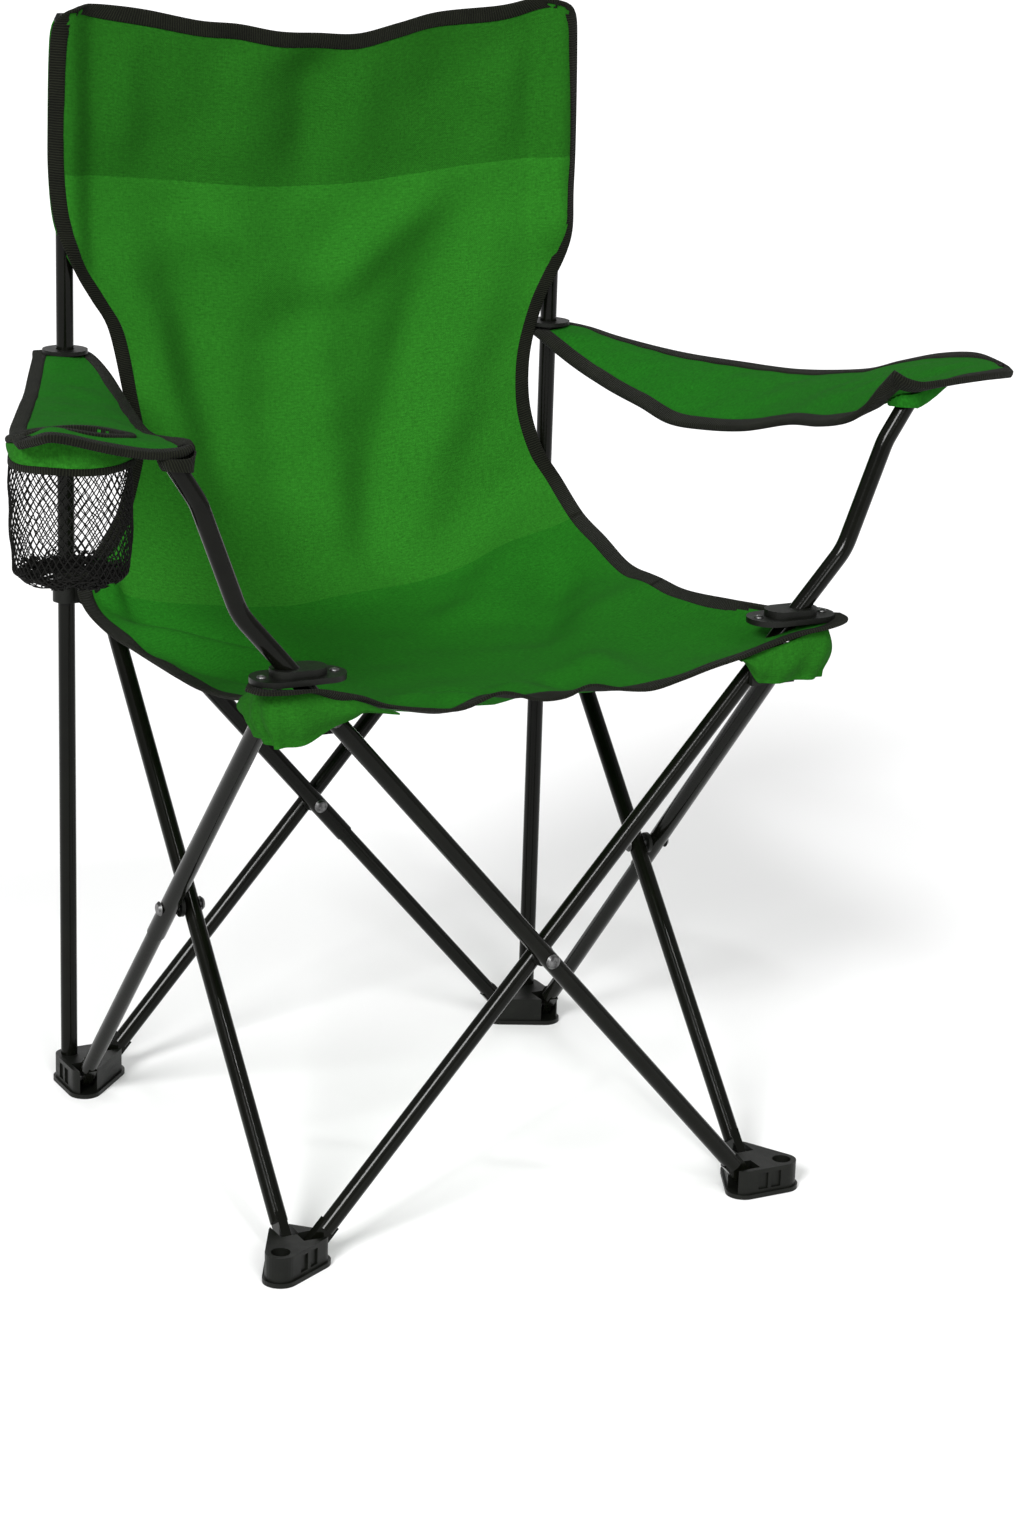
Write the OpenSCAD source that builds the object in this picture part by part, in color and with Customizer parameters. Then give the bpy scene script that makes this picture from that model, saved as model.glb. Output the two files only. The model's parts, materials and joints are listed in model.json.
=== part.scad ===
// Folding camp chair: four scissor frames of steel tube, two uprights, fabric seat, back and armrests.
// The front of the chair faces -Y. Left in a name is the -X side, as seen from the front.

/* [Frame] */
// Height of the uprights over the floor
upright_top = 828; // [780:1:860]
// Outside diameter of the frame tubes
tube_d = 13; // [12:0.5:14]
// Wall of the frame tubes
wall = 1; // [0.8:0.1:1.5]
// Distance between the two pivots of one frame side, at the feet and at the seat
pivot_span = 344; // [320:1:360]
// Height of the foot pivots over the floor
pivot_low = 14; // [13:0.5:16]
// Height of the seat pivots over the floor, chair open
pivot_high = 406; // [395:1:415]
// Distance from the chair's middle to the middle of a scissor frame
frame_half = 196; // [192:1:198]
// Distance between the centre lines of two crossing tubes
lane = 17.5; // [17:0.5:18]
// Distance from the chair's middle to an upright, both ways
upright_at = 205; // [203:1:206]

/* [Feet] */
// Thickness of the walls of a foot beside its tubes
foot_wall = 4; // [3.5:0.5:5]
// Height of a foot
foot_h = 22; // [21:0.5:26]

/* [Arm posts] */
// Angle of an arm post from the vertical
post_angle = 21; // [18:1:24]
// Radius of the lower post bend
bend_r = 45; // [40:5:60]
// Straight length of the post between its bends
post_run = 70; // [60:1:75]
// Length of a front tube between its seat pivot and its first bend
post_rise = 95; // [85:1:100]
// Angle by which the top of a post bends outwards
post_top_angle = 12; // [8:1:16]

/* [Fabric] */
// Thickness of the fabric panels
cloth_t = 4; // [3:0.5:6]
// Half width and half depth of the seat panels
seat_half = 178; // [170:1:179]
// Height of the armrest at its upright
arm_rear_z = 576; // [565:1:590]
// Height of the armrest at its front edge
arm_front_z = 604; // [600:1:612]
// Radius of the cup pocket
cup_r = 44; // [40:1:46]
// Depth of the cup pocket
cup_depth = 98; // [85:1:110]

/* [Hidden] */
$fn = 48;

tube_r = tube_d / 2;
outer = frame_half + lane / 2;      // centre plane of the outer tubes
inner = frame_half - lane / 2;      // centre plane of the inner tubes
pivot_at = pivot_span / 2;
rise = pivot_high - pivot_low;
bar_len = sqrt(pivot_span * pivot_span + rise * rise);
open_angle = atan2(pivot_span, rise);
cross_z = (pivot_low + pivot_high) / 2;
end_past = 7;                       // how far a tube runs past its end pivot
post_end = 26;                      // straight end of a post above its top bend
spacer_h = 2.8;                     // height of the ring between two crossing tubes
spacer_r = 8;
tongue_t = 7;                       // thickness of a flattened tube end
tongue_len = 20;                    // length of a flattened tube end above its pivot
tongue_extra = 0.5;                 // how much wider than the tube its flattened end is, each side
tongue_lap = 6;                     // how far the tube runs on over its flattened end
rivet_r = 3;
hole_r = 3.1;
head_r = 5.5;
head_h = 2;
head_taper = 1.6;
through = 20;                       // length of a drill through one wall, half of one through a part
gap = 0.3;                          // clearance between faces of different bodies
swage_at = 0.43;                    // where the lower part of a two-part tube enters the upper, as a share
swage_in = 24;
swage_extra = 0.6;
swage_r = tube_r + swage_extra;     // outside radius of the larger upper part
wall_t = 4;                         // thickness of the hub and bracket walls
wall_in = 11;                       // how far those walls run past the pivot, towards the chair's middle
slot_half = tube_r + 0.6;           // half width of the slot for a tube in a foot
slot_floor = 3.5;
flange_h = 3.5;
flange_out = 1.8;                   // how far the flange of a foot stands out
pit_r = 7;                          // hollow in the outer corner of a foot that carries no upright
pit_depth = 11;
hub_r = tube_r + 4;
hub_h = 34;
bracket_low = pivot_high - 14;
bracket_high = pivot_high + 12;
plate_z = pivot_high + 29;          // seat corner plate, where the front tube comes through the seat
arm_front_y = -222;
arm_rear_y = 214;
cup_at = [-343, -150];
arm_plate_r = 17;
yoke_low = 714;                     // lower edge of the band across the top of the back
steel = [0.05, 0.05, 0.055];
plastic = [0.06, 0.06, 0.065];
green = [0.13, 0.42, 0.12];
bright = [0.35, 0.35, 0.37];

// ---- shared shapes -------------------------------------------------------------------------------

// A straight tube stretch along +Z, with what follows it placed at its end.
module straight(r, len) {
    cylinder(r = r, h = len);
    translate([0, 0, len]) children();
}

// A bend of the path towards +X, with what follows it placed at its end.
module bend(r, bend_radius, angle) {
    translate([bend_radius, 0, 0]) rotate([90, 0, 180])
        rotate_extrude(angle = angle) translate([bend_radius, 0]) circle(r = r);
    at_bend_end(bend_radius, angle) children();
}

// Places what follows at the end of such a bend.
module at_bend_end(bend_radius, angle) {
    translate([bend_radius * (1 - cos(angle)), 0, bend_radius * sin(angle)])
        rotate([0, angle, 0]) children();
}

// Flattened, rounded tube end around a pivot at the origin, the tube going up +Z.
// The flat faces look along Y.
module tongue(r) {
    half = r + tongue_extra;
    rotate([90, 0, 0]) cylinder(r = half, h = tongue_t, center = true);
    translate([-half, -tongue_t / 2, 0]) cube([2 * half, tongue_t, tongue_len]);
}

// Hole for a rivet along Y, at a height along the tube.
module rivet_hole(z) {
    translate([0, 0, z]) rotate([90, 0, 0]) cylinder(r = hole_r, h = 2 * through, center = true);
}

// Crossing tube along +Z with both ends flattened and its three rivet holes.
module crossing_tube(r) {
    difference() {
        union() {
            difference() {
                translate([0, 0, tongue_len - tongue_lap])
                    cylinder(r = r, h = bar_len - 2 * (tongue_len - tongue_lap));
                translate([0, 0, tongue_len]) cylinder(r = r - wall, h = bar_len - 2 * tongue_len);
            }
            tongue(r);
            translate([0, 0, bar_len]) mirror([0, 0, 1]) tongue(r);
        }
        rivet_hole(0);
        rivet_hole(bar_len / 2);
        rivet_hole(bar_len);
    }
}

// Upper, larger part of a two-part crossing tube.
module crossing_tube_upper() {
    start = bar_len * swage_at;
    difference() {
        union() {
            difference() {
                translate([0, 0, start])
                    cylinder(r = swage_r, h = bar_len - tongue_len + tongue_lap - start);
                translate([0, 0, start - 1])
                    cylinder(r = swage_r - wall + 0.3, h = bar_len - tongue_len - start + 1);
            }
            translate([0, 0, bar_len]) mirror([0, 0, 1]) tongue(swage_r);
        }
        rivet_hole(bar_len / 2);
        rivet_hole(bar_len);
    }
}

// Lower, thinner part, which enters the upper one.
module crossing_tube_lower() {
    end = bar_len * swage_at + swage_in;
    r = swage_r - wall + 0.1;
    difference() {
        union() {
            difference() {
                translate([0, 0, tongue_len - tongue_lap])
                    cylinder(r = r, h = end - tongue_len + tongue_lap);
                translate([0, 0, tongue_len]) cylinder(r = r - wall, h = end);
            }
            tongue(r);
        }
        rivet_hole(0);
    }
}

// Path of a front tube: up along +Z, then the two post bends, leaning to -X first and back to +X.
module front_path(r, from, extra) {
    past_plate = bar_len + post_rise;
    translate([0, 0, from]) straight(r, past_plate - from)
        mirror([1, 0, 0]) bend(r, bend_r, open_angle - post_angle)
            straight(r, post_run)
                mirror([1, 0, 0]) bend(r, bend_r, post_top_angle)
                    straight(r, post_end + extra);
}

// Front tube, which runs on through the seat corner as the arm post.
module front_tube() {
    difference() {
        union() {
            difference() {
                front_path(tube_r, tongue_len - tongue_lap, 0);
                front_path(tube_r - wall, tongue_len, 1);
            }
            tongue(tube_r);
        }
        rivet_hole(0);
        rivet_hole(bar_len / 2);
        rivet_hole(bar_len);
    }
}

// Places a tube made along +Z in a plane across the chair, at depth y, leaning from side -s to side s.
module lean_across(y, s) {
    translate([-s * pivot_at, y, pivot_low]) scale([s, 1, 1]) rotate([0, open_angle, 0]) children();
}

// Places a tube made along +Z in a side plane, at x, leaning from y = -s to y = s.
module lean_along(x, s) {
    translate([x, -s * pivot_at, pivot_low]) rotate([0, 0, s * 90]) rotate([0, open_angle, 0]) children();
}

// Domed rivet along +Y from y = 0 to y = len between its heads.
module rivet(len) {
    rotate([-90, 0, 0]) {
        translate([0, 0, -0.5]) cylinder(r = rivet_r, h = len + 1);
        translate([0, 0, len]) cylinder(r1 = head_r, r2 = head_r - head_taper, h = head_h);
        mirror([0, 0, 1]) cylinder(r1 = head_r, r2 = head_r - head_taper, h = head_h);
    }
}

// Rivet across two crossing tubes, in a frame whose middle plane is y = 0.
module cross_rivet(extra) {
    reach = lane / 2 + tube_r + extra + gap;
    translate([0, -reach, 0]) rivet(2 * reach);
}

// Spacer ring between two crossing tubes.
module cross_spacer() {
    rotate([90, 0, 0]) difference() {
        cylinder(r = spacer_r, h = spacer_h, center = true);
        cylinder(r = hole_r, h = spacer_h + 2, center = true);
    }
}

// Slab with rounded upright corners.
module rounded_slab(half_x, half_y, h, r) {
    translate([-half_x + r, -half_y, 0]) cube([2 * (half_x - r), 2 * half_y, h]);
    translate([-half_x, -half_y + r, 0]) cube([2 * half_x, 2 * (half_y - r), h]);
    for (x = [-1, 1], y = [-1, 1])
        translate([x * (half_x - r), y * (half_y - r), 0]) cylinder(r = r, h = h);
}

// ---- feet ----------------------------------------------------------------------------------------

// Foot at the corner in the +X +Y quadrant. across is the plane of the tube that leans across the chair,
// along the plane of the tube that leans along the chair, and socket says whether an upright stands in it.
module foot(across, along, socket) {
    start = pivot_at + end_past + 3;
    corners = [[pivot_at, across], [outer, outer], [along, pivot_at]];
    side = slot_half + foot_wall;
    difference() {
        union() {
            foot_block(corners, side + flange_out, flange_h);
            foot_block(corners, side, foot_h);
        }
        translate([0, across - slot_half, slot_floor]) cube([start, 2 * slot_half, foot_h]);
        translate([along - slot_half, 0, slot_floor]) cube([2 * slot_half, start, foot_h]);
        translate([pivot_at, across, pivot_low]) rotate([90, 0, 0])
            cylinder(r = hole_r, h = 2 * slot_half + 6, center = true);
        translate([along, pivot_at, pivot_low]) rotate([0, 90, 0])
            cylinder(r = hole_r, h = 2 * slot_half + 6, center = true);
        if (socket)
            translate([upright_at, upright_at, slot_floor + 1]) cylinder(r = tube_r + 0.1, h = foot_h);
        else
            translate([outer, outer, foot_h - pit_depth]) cylinder(r = pit_r, h = foot_h);
        foot_windows(corners[0], corners[1], side);
        foot_windows(corners[1], corners[2], side);
    }
}

// Block with a triangular plan, whose faces and round corners lie side away from the triangle. The corners
// run clockwise.
module foot_block(corners, side, h) {
    steps = 12;
    outline = [for (i = [0:2])
        let (here = corners[i])
        let (next = corners[(i + 1) % 3] - here)
        let (last = here - corners[(i + 2) % 3])
        let (leave = atan2(next.y, next.x))
        let (turn = (atan2(last.y, last.x) - leave + 720) % 360)
        for (k = [0:steps])
            let (a = leave + 90 + turn * (1 - k / steps))
            here + side * [cos(a), sin(a)]];
    linear_extrude(h) polygon(outline);
}

// Places children at from, with +X towards to.
module from_to(from, to) {
    translate([from.x, from.y, 0]) rotate([0, 0, atan2(to.y - from.y, to.x - from.x)]) children();
}

// Two shallow moulded recesses side by side on the outer face between two corners of a foot.
module foot_windows(from, to, side) {
    depth = 1.6;
    width = 8;
    rib = 3;
    low = flange_h + 2.5;
    height = foot_h - flange_h - 6;
    middle = norm(to - from) / 2;
    for (x = [middle - width - rib / 2, middle + rib / 2])
        from_to(from, to) translate([x, side - depth, low]) cube([width, depth + 3, height]);
}

module foot_front_left() { color(plastic) rotate([0, 0, 180]) foot(inner, inner, false); }
module foot_front_right() { color(plastic) mirror([0, 1, 0]) foot(outer, inner, false); }
module foot_rear_left() { color(plastic) mirror([1, 0, 0]) foot(outer, outer, true); }
module foot_rear_right() { color(plastic) foot(inner, outer, true); }

// The two pivot rivets of a foot in the +X +Y quadrant.
module foot_rivets(across, along) {
    half = slot_half - 0.3;
    translate([pivot_at, across - half, pivot_low]) stud(2 * half);
    translate([along - half, pivot_at, pivot_low]) rotate([0, 0, -90]) stud(2 * half);
}

// Plain pin along +Y that ends in the two slot walls.
module stud(len) {
    translate([0, -2, 0]) rotate([-90, 0, 0]) cylinder(r = rivet_r, h = len + 4);
}

module foot_rivets_front_left() { color(bright) rotate([0, 0, 180]) foot_rivets(inner, inner); }
module foot_rivets_front_right() { color(bright) mirror([0, 1, 0]) foot_rivets(outer, inner); }
module foot_rivets_rear_left() { color(bright) mirror([1, 0, 0]) foot_rivets(outer, outer); }
module foot_rivets_rear_right() { color(bright) foot_rivets(inner, outer); }

// ---- uprights ------------------------------------------------------------------------------------

module upright() {
    low = slot_floor + 1.2;
    translate([upright_at, upright_at, low]) difference() {
        cylinder(r = tube_r, h = upright_top - low);
        translate([0, 0, -1]) cylinder(r = tube_r - wall, h = upright_top + 2);
    }
}

// Domed plug in the top of an upright.
module upright_cap() {
    translate([upright_at, upright_at, upright_top]) tube_cap();
}

// Plug for the end of a tube that goes up along +Z and ends at the origin.
module tube_cap() {
    plug_len = 12;
    translate([0, 0, -plug_len]) cylinder(r = tube_r - wall - 0.1, h = plug_len);
    translate([0, 0, 0.1]) cylinder(r1 = tube_r, r2 = tube_r - 2, h = 4);
}

module upright_left() { color(steel) mirror([1, 0, 0]) upright(); }
module upright_right() { color(steel) upright(); }
module upright_cap_left() { color(plastic) mirror([1, 0, 0]) upright_cap(); }
module upright_cap_right() { color(plastic) upright_cap(); }

// ---- crossing tubes ------------------------------------------------------------------------------

module back_tube_outer() { color(steel) lean_across(outer, 1) crossing_tube(tube_r); }
module back_tube_inner() { color(steel) lean_across(inner, -1) crossing_tube_upper(); }
module back_tube_inner_lower() { color(steel) lean_across(inner, -1) crossing_tube_lower(); }
module front_tube_inner() { color(steel) lean_across(-inner, 1) front_tube(); }
module front_tube_outer() { color(steel) lean_across(-outer, -1) front_tube(); }
module side_tube_outer_left() { color(steel) lean_along(-outer, -1) crossing_tube_upper(); }
module side_tube_outer_left_lower() { color(steel) lean_along(-outer, -1) crossing_tube_lower(); }
module side_tube_inner_left() { color(steel) lean_along(-inner, 1) crossing_tube(tube_r); }
module side_tube_outer_right() { color(steel) lean_along(outer, -1) crossing_tube_upper(); }
module side_tube_outer_right_lower() { color(steel) lean_along(outer, -1) crossing_tube_lower(); }
module side_tube_inner_right() { color(steel) lean_along(inner, 1) crossing_tube(tube_r); }

// Places a shape made around the middle of a crossing, in a frame across the chair or in a side frame.
module at_across(s) { translate([0, s * frame_half, cross_z]) children(); }
module at_side(s) { translate([s * frame_half, 0, cross_z]) rotate([0, 0, 90]) children(); }

module cross_rivet_back() { color(bright) at_across(1) cross_rivet(swage_extra); }
module cross_rivet_front() { color(bright) at_across(-1) cross_rivet(0); }
module cross_rivet_left() { color(bright) at_side(-1) cross_rivet(swage_extra); }
module cross_rivet_right() { color(bright) at_side(1) cross_rivet(swage_extra); }
module cross_spacer_back() { color(plastic) at_across(1) cross_spacer(); }
module cross_spacer_front() { color(plastic) at_across(-1) cross_spacer(); }
module cross_spacer_left() { color(plastic) at_side(-1) cross_spacer(); }
module cross_spacer_right() { color(plastic) at_side(1) cross_spacer(); }

// ---- sliding hubs on the uprights ----------------------------------------------------------------

// Hub in the +X +Y quadrant. The wall for the back tube is at across_wall, the one for the side tube
// at along_wall.
module hub(across_wall, along_wall) {
    wall_len = upright_at - pivot_at + 8;
    wall_h = bracket_high - bracket_low;
    difference() {
        union() {
            translate([upright_at, upright_at, bracket_low]) cylinder(r = hub_r, h = hub_h);
            translate([pivot_at - wall_in, across_wall, bracket_low]) cube([wall_len, wall_t, wall_h]);
            translate([along_wall, pivot_at - wall_in, bracket_low]) cube([wall_t, wall_len, wall_h]);
        }
        translate([upright_at, upright_at, bracket_low - 1]) cylinder(r = tube_r + 0.2, h = hub_h + 2);
        translate([pivot_at, across_wall, pivot_high]) rotate([90, 0, 0])
            cylinder(r = hole_r, h = through, center = true);
        translate([along_wall, pivot_at, pivot_high]) rotate([0, 90, 0])
            cylinder(r = hole_r, h = through, center = true);
    }
}

outer_wall = frame_half - 3.6;                      // wall on the inner side of an outer tube
inner_wall = inner + tube_r + 0.9;                  // wall on the outer side of an inner tube

module hub_left() { color(plastic) mirror([1, 0, 0]) hub(inner_wall, inner_wall); }
module hub_right() { color(plastic) hub(outer_wall, inner_wall); }

// Rivet through a tube in plane at and the wall beside it, both given along +Y.
module wall_rivet(at, wall_low, r) {
    low = min(at - r, wall_low) - gap;
    high = max(at + r, wall_low + wall_t) + gap;
    translate([pivot_at, low, pivot_high]) rivet(high - low);
}

// Turns a shape of the plane across the chair into the plane along it.
module swap_xy() { mirror([1, -1, 0]) children(); }

module hub_rivets_left() {
    color(bright) mirror([1, 0, 0]) {
        wall_rivet(inner, inner_wall, swage_r);
        swap_xy() wall_rivet(inner, inner_wall, tube_r);
    }
}

module hub_rivets_right() {
    color(bright) {
        wall_rivet(outer, outer_wall, tube_r);
        swap_xy() wall_rivet(inner, inner_wall, tube_r);
    }
}

// ---- seat corners --------------------------------------------------------------------------------

// Bracket under a front seat corner, in the +X +Y quadrant: two walls that meet in an L.
module corner_bracket(across_wall) {
    start = pivot_at - wall_in;
    wall_h = bracket_high - bracket_low;
    difference() {
        union() {
            translate([start, across_wall, bracket_low]) cube([outer_wall + wall_t - start, wall_t, wall_h]);
            translate([outer_wall, start, bracket_low])
                cube([wall_t, max(across_wall, outer_wall) + wall_t - start, wall_h]);
        }
        translate([pivot_at, across_wall, pivot_high]) rotate([90, 0, 0])
            cylinder(r = hole_r, h = through, center = true);
        translate([outer_wall, pivot_at, pivot_high]) rotate([0, 90, 0])
            cylinder(r = hole_r, h = through, center = true);
    }
}

module corner_rivets(across, across_wall) {
    wall_rivet(across, across_wall, tube_r);
    swap_xy() wall_rivet(outer, outer_wall, swage_r);
}

module corner_bracket_left() { color(plastic) rotate([0, 0, 180]) corner_bracket(outer_wall); }
module corner_bracket_right() { color(plastic) mirror([0, 1, 0]) corner_bracket(inner_wall); }
module corner_rivets_left() { color(bright) rotate([0, 0, 180]) corner_rivets(outer, outer_wall); }
module corner_rivets_right() { color(bright) mirror([0, 1, 0]) corner_rivets(inner, inner_wall); }

// Oval plate on top of the seat, with a raised collar around the post that leans through it.
module corner_plate(across) {
    post_x = pivot_at + (plate_z - pivot_high) * tan(open_angle);
    difference() {
        union() {
            translate([post_x, across, plate_z]) rounded_slab(34, 17, 4, 16.5);
            translate([post_x, across, plate_z]) rounded_slab(20, 12, 9, 11.5);
        }
        translate([pivot_at, across, pivot_high]) rotate([0, open_angle, 0])
            cylinder(r = tube_r + 0.2, h = 120);
    }
}

module corner_plate_left() { color(plastic) rotate([0, 0, 180]) corner_plate(outer); }
module corner_plate_right() { color(plastic) mirror([0, 1, 0]) corner_plate(inner); }

// Cap at the top of an arm post, placed along the same path as the tube.
module post_cap() {
    translate([0, 0, bar_len + post_rise])
        mirror([1, 0, 0]) at_bend_end(bend_r, open_angle - post_angle) translate([0, 0, post_run])
            mirror([1, 0, 0]) at_bend_end(bend_r, post_top_angle) translate([0, 0, post_end]) tube_cap();
}

module post_cap_left() { color(plastic) lean_across(-outer, -1) post_cap(); }
module post_cap_right() { color(plastic) lean_across(-inner, 1) post_cap(); }

// ---- fabric --------------------------------------------------------------------------------------

// Half width of the back below its yoke: the sides curve in between the sleeve and the seat.
function back_side(z) = 186 - 30 * pow(sin(180 * (z - 392) / 308), 2);

// Back panel: above the hubs it has its full width, below them a narrower tail goes down to the seat.
module back_panel() {
    steps = 10;
    hub_top = 430;
    tail_half = 138;
    tail_low = 384;
    panel_top = yoke_low - 2;
    zs = [for (i = [0:steps]) hub_top + (panel_top - hub_top) * i / steps];
    right = concat([[tail_half, tail_low], [tail_half, hub_top]], [for (z = zs) [back_side(z), z]]);
    count = len(right);
    left = [for (i = [0:count - 1]) [-right[count - 1 - i][0], right[count - 1 - i][1]]];
    color(green) translate([0, upright_at - 2 * cloth_t, 0]) rotate([90, 0, 0])
        linear_extrude(cloth_t) polygon(concat(right, left));
}

// Doubled band across the top of the back, with a sleeve over each upright.
module back_yoke() {
    band_top = 812;
    sleeve_h = upright_top + 7 - yoke_low;
    color(green) difference() {
        union() {
            translate([-upright_at, upright_at - 2 * cloth_t, yoke_low])
                cube([2 * upright_at, cloth_t, band_top - yoke_low]);
            for (s = [-1, 1])
                translate([s * upright_at, upright_at, yoke_low]) cylinder(r = tube_r + 3.5, h = sleeve_h);
        }
        for (s = [-1, 1])
            translate([s * upright_at, upright_at, yoke_low - 1]) cylinder(r = tube_r + 0.5, h = sleeve_h);
    }
}

// Side view of one half of the seat: a shallow hanging strip from its frame edge to the middle.
module seat_half_panel() {
    steps = 6;
    edge_z = 398;
    sag = 14;
    ys = [for (i = [0:steps]) 0.5 + (seat_half - 0.5) * i / steps];
    top = [for (y = ys) [y, edge_z - sag + sag * pow(y / seat_half, 2)]];
    under = [for (i = [0:steps]) [top[steps - i][0], top[steps - i][1] - cloth_t]];
    translate([-seat_half, 0, 0]) rotate([90, 0, 90])
        linear_extrude(2 * seat_half) polygon(concat(top, under));
}

module seat_rear() { color(green) seat_half_panel(); }
module seat_front() { color(green) mirror([0, 1, 0]) seat_half_panel(); }

// Pocket that hangs under a seat corner, outside the bracket, open at the top.
module corner_pocket(out_y) {
    middle = 208;
    half = 32;
    low = 392;
    height = 40;
    difference() {
        translate([middle, out_y, low]) rounded_slab(half, 3, height, 2.5);
        translate([middle, out_y, low + 4]) rounded_slab(half - 3, 1.2, height, 1.1);
    }
}

module corner_pocket_left() { color(green) rotate([0, 0, 180]) corner_pocket(outer + tube_r + 7); }
module corner_pocket_right() { color(green) mirror([0, 1, 0]) corner_pocket(outer + tube_r + 7); }

// Outline of an armrest seen from above, in the +X half, from the upright to the wide front.
arm_outline = [[181, arm_rear_y], [236, arm_rear_y], [262, 120], [330, 0], [376, -90], [389, -160],
    [384, arm_front_y + 8], [372, arm_front_y], [268, arm_front_y], [257, arm_front_y + 10],
    [240, -120], [206, 40], [184, 150]];

// Armrest: a flat strip that climbs from the upright to its front edge.
module armrest() {
    slope = atan2(arm_front_z - arm_rear_z, arm_rear_y - arm_front_y);
    translate([0, arm_rear_y, arm_rear_z]) rotate([-slope, 0, 0]) translate([0, -arm_rear_y, 0])
        difference() {
            linear_extrude(cloth_t) polygon(arm_outline);
            translate([upright_at, upright_at, 0])
                cylinder(r = arm_plate_r - 3, h = 2 * through, center = true);
            children();
        }
}

module armrest_left() {
    color(green) mirror([1, 0, 0]) armrest()
        translate([-cup_at[0], cup_at[1], 0]) cylinder(r = cup_r - 4, h = 2 * through, center = true);
}
module armrest_right() { color(green) armrest(); }

// Plastic eyelet where an upright passes through the rear end of an armrest.
module arm_plate() {
    flange_at = 7;
    collar_h = 12;
    translate([upright_at, upright_at, arm_rear_z]) difference() {
        union() {
            translate([0, 0, flange_at]) cylinder(r = arm_plate_r, h = 3);
            translate([0, 0, flange_at + 2 - collar_h]) cylinder(r = hub_r, h = collar_h);
        }
        cylinder(r = tube_r + 0.4, h = 2 * through, center = true);
    }
}

module arm_plate_left() { color(plastic) mirror([1, 0, 0]) arm_plate(); }
module arm_plate_right() { color(plastic) arm_plate(); }

// Round net pocket that hangs under the armrest.
module cup_net() {
    top = 595;
    net_t = 3;
    taper = 3;
    color(plastic) translate([cup_at[0], cup_at[1], top - cup_depth]) difference() {
        cylinder(r1 = cup_r - taper, r2 = cup_r, h = cup_depth);
        translate([0, 0, net_t])
            cylinder(r1 = cup_r - taper - net_t, r2 = cup_r - net_t, h = cup_depth);
    }
}

foot_front_left();
foot_front_right();
foot_rear_left();
foot_rear_right();
upright_left();
upright_right();
upright_cap_left();
upright_cap_right();
back_tube_outer();
back_tube_inner();
back_tube_inner_lower();
front_tube_inner();
front_tube_outer();
side_tube_outer_left();
side_tube_outer_left_lower();
side_tube_inner_left();
side_tube_outer_right();
side_tube_outer_right_lower();
side_tube_inner_right();
cross_rivet_back();
cross_rivet_front();
cross_rivet_left();
cross_rivet_right();
cross_spacer_back();
cross_spacer_front();
cross_spacer_left();
cross_spacer_right();
foot_rivets_front_left();
foot_rivets_front_right();
foot_rivets_rear_left();
foot_rivets_rear_right();
hub_left();
hub_right();
hub_rivets_left();
hub_rivets_right();
corner_bracket_left();
corner_bracket_right();
corner_rivets_left();
corner_rivets_right();
corner_plate_left();
corner_plate_right();
post_cap_left();
post_cap_right();
arm_plate_left();
arm_plate_right();
back_panel();
back_yoke();
seat_rear();
seat_front();
corner_pocket_left();
corner_pocket_right();
armrest_left();
armrest_right();
cup_net();
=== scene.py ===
"""Folding camp chair: fabric, net, finishes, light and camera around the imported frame. Metres, +Z up."""
import json
import math

import bmesh
import bpy
import numpy as np
from mathutils import Matrix, Vector
from mathutils.bvhtree import BVHTree


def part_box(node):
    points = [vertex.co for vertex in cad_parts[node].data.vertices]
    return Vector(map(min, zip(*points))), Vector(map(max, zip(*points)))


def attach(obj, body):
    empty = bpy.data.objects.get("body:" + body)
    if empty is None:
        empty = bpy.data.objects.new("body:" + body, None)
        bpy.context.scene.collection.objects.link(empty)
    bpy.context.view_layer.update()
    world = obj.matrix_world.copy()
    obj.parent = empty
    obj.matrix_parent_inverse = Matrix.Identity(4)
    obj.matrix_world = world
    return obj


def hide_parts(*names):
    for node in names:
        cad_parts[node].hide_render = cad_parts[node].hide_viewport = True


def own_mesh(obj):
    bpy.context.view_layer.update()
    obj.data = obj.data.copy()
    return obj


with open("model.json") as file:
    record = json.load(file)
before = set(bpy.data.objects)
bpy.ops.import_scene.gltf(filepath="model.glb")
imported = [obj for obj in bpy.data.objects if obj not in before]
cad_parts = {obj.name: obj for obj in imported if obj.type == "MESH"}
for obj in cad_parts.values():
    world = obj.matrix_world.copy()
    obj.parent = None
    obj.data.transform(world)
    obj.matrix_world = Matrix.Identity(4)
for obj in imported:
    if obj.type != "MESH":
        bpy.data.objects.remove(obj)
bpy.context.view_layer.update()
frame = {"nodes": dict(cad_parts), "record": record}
NODES = frame["nodes"]

# ---- sizes ---------------------------------------------------------------------------------------

CLOTH = 0.0009                # thickness of one layer of the seat cloth
ARM_CLOTH = 0.0022            # the armrests are two layers
BAND_CLOTH = 0.0012           # the cup's band and the pockets for the posts
TAPE_WIDTH = 0.0105
TAPE_THICK = 0.0026
EDGE_INSET = 4                # columns or rows between a cloth's rim and the line its edging points to
UPRIGHT_AT = 0.205            # distance from the middle to an upright, both ways
CUP_LOW, CUP_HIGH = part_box("cup_net")
CUP_R = 0.0402
CUP_X = CUP_HIGH.x - CUP_R + 0.0030
CUP_Y = (CUP_LOW.y + CUP_HIGH.y) / 2 - 0.0015
CUP_FLOOR = CUP_LOW.z + 0.005
SIDES = {"left": -1, "right": 1}


# ---- curves and surfaces -------------------------------------------------------------------------

SAMPLES = 16


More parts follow.
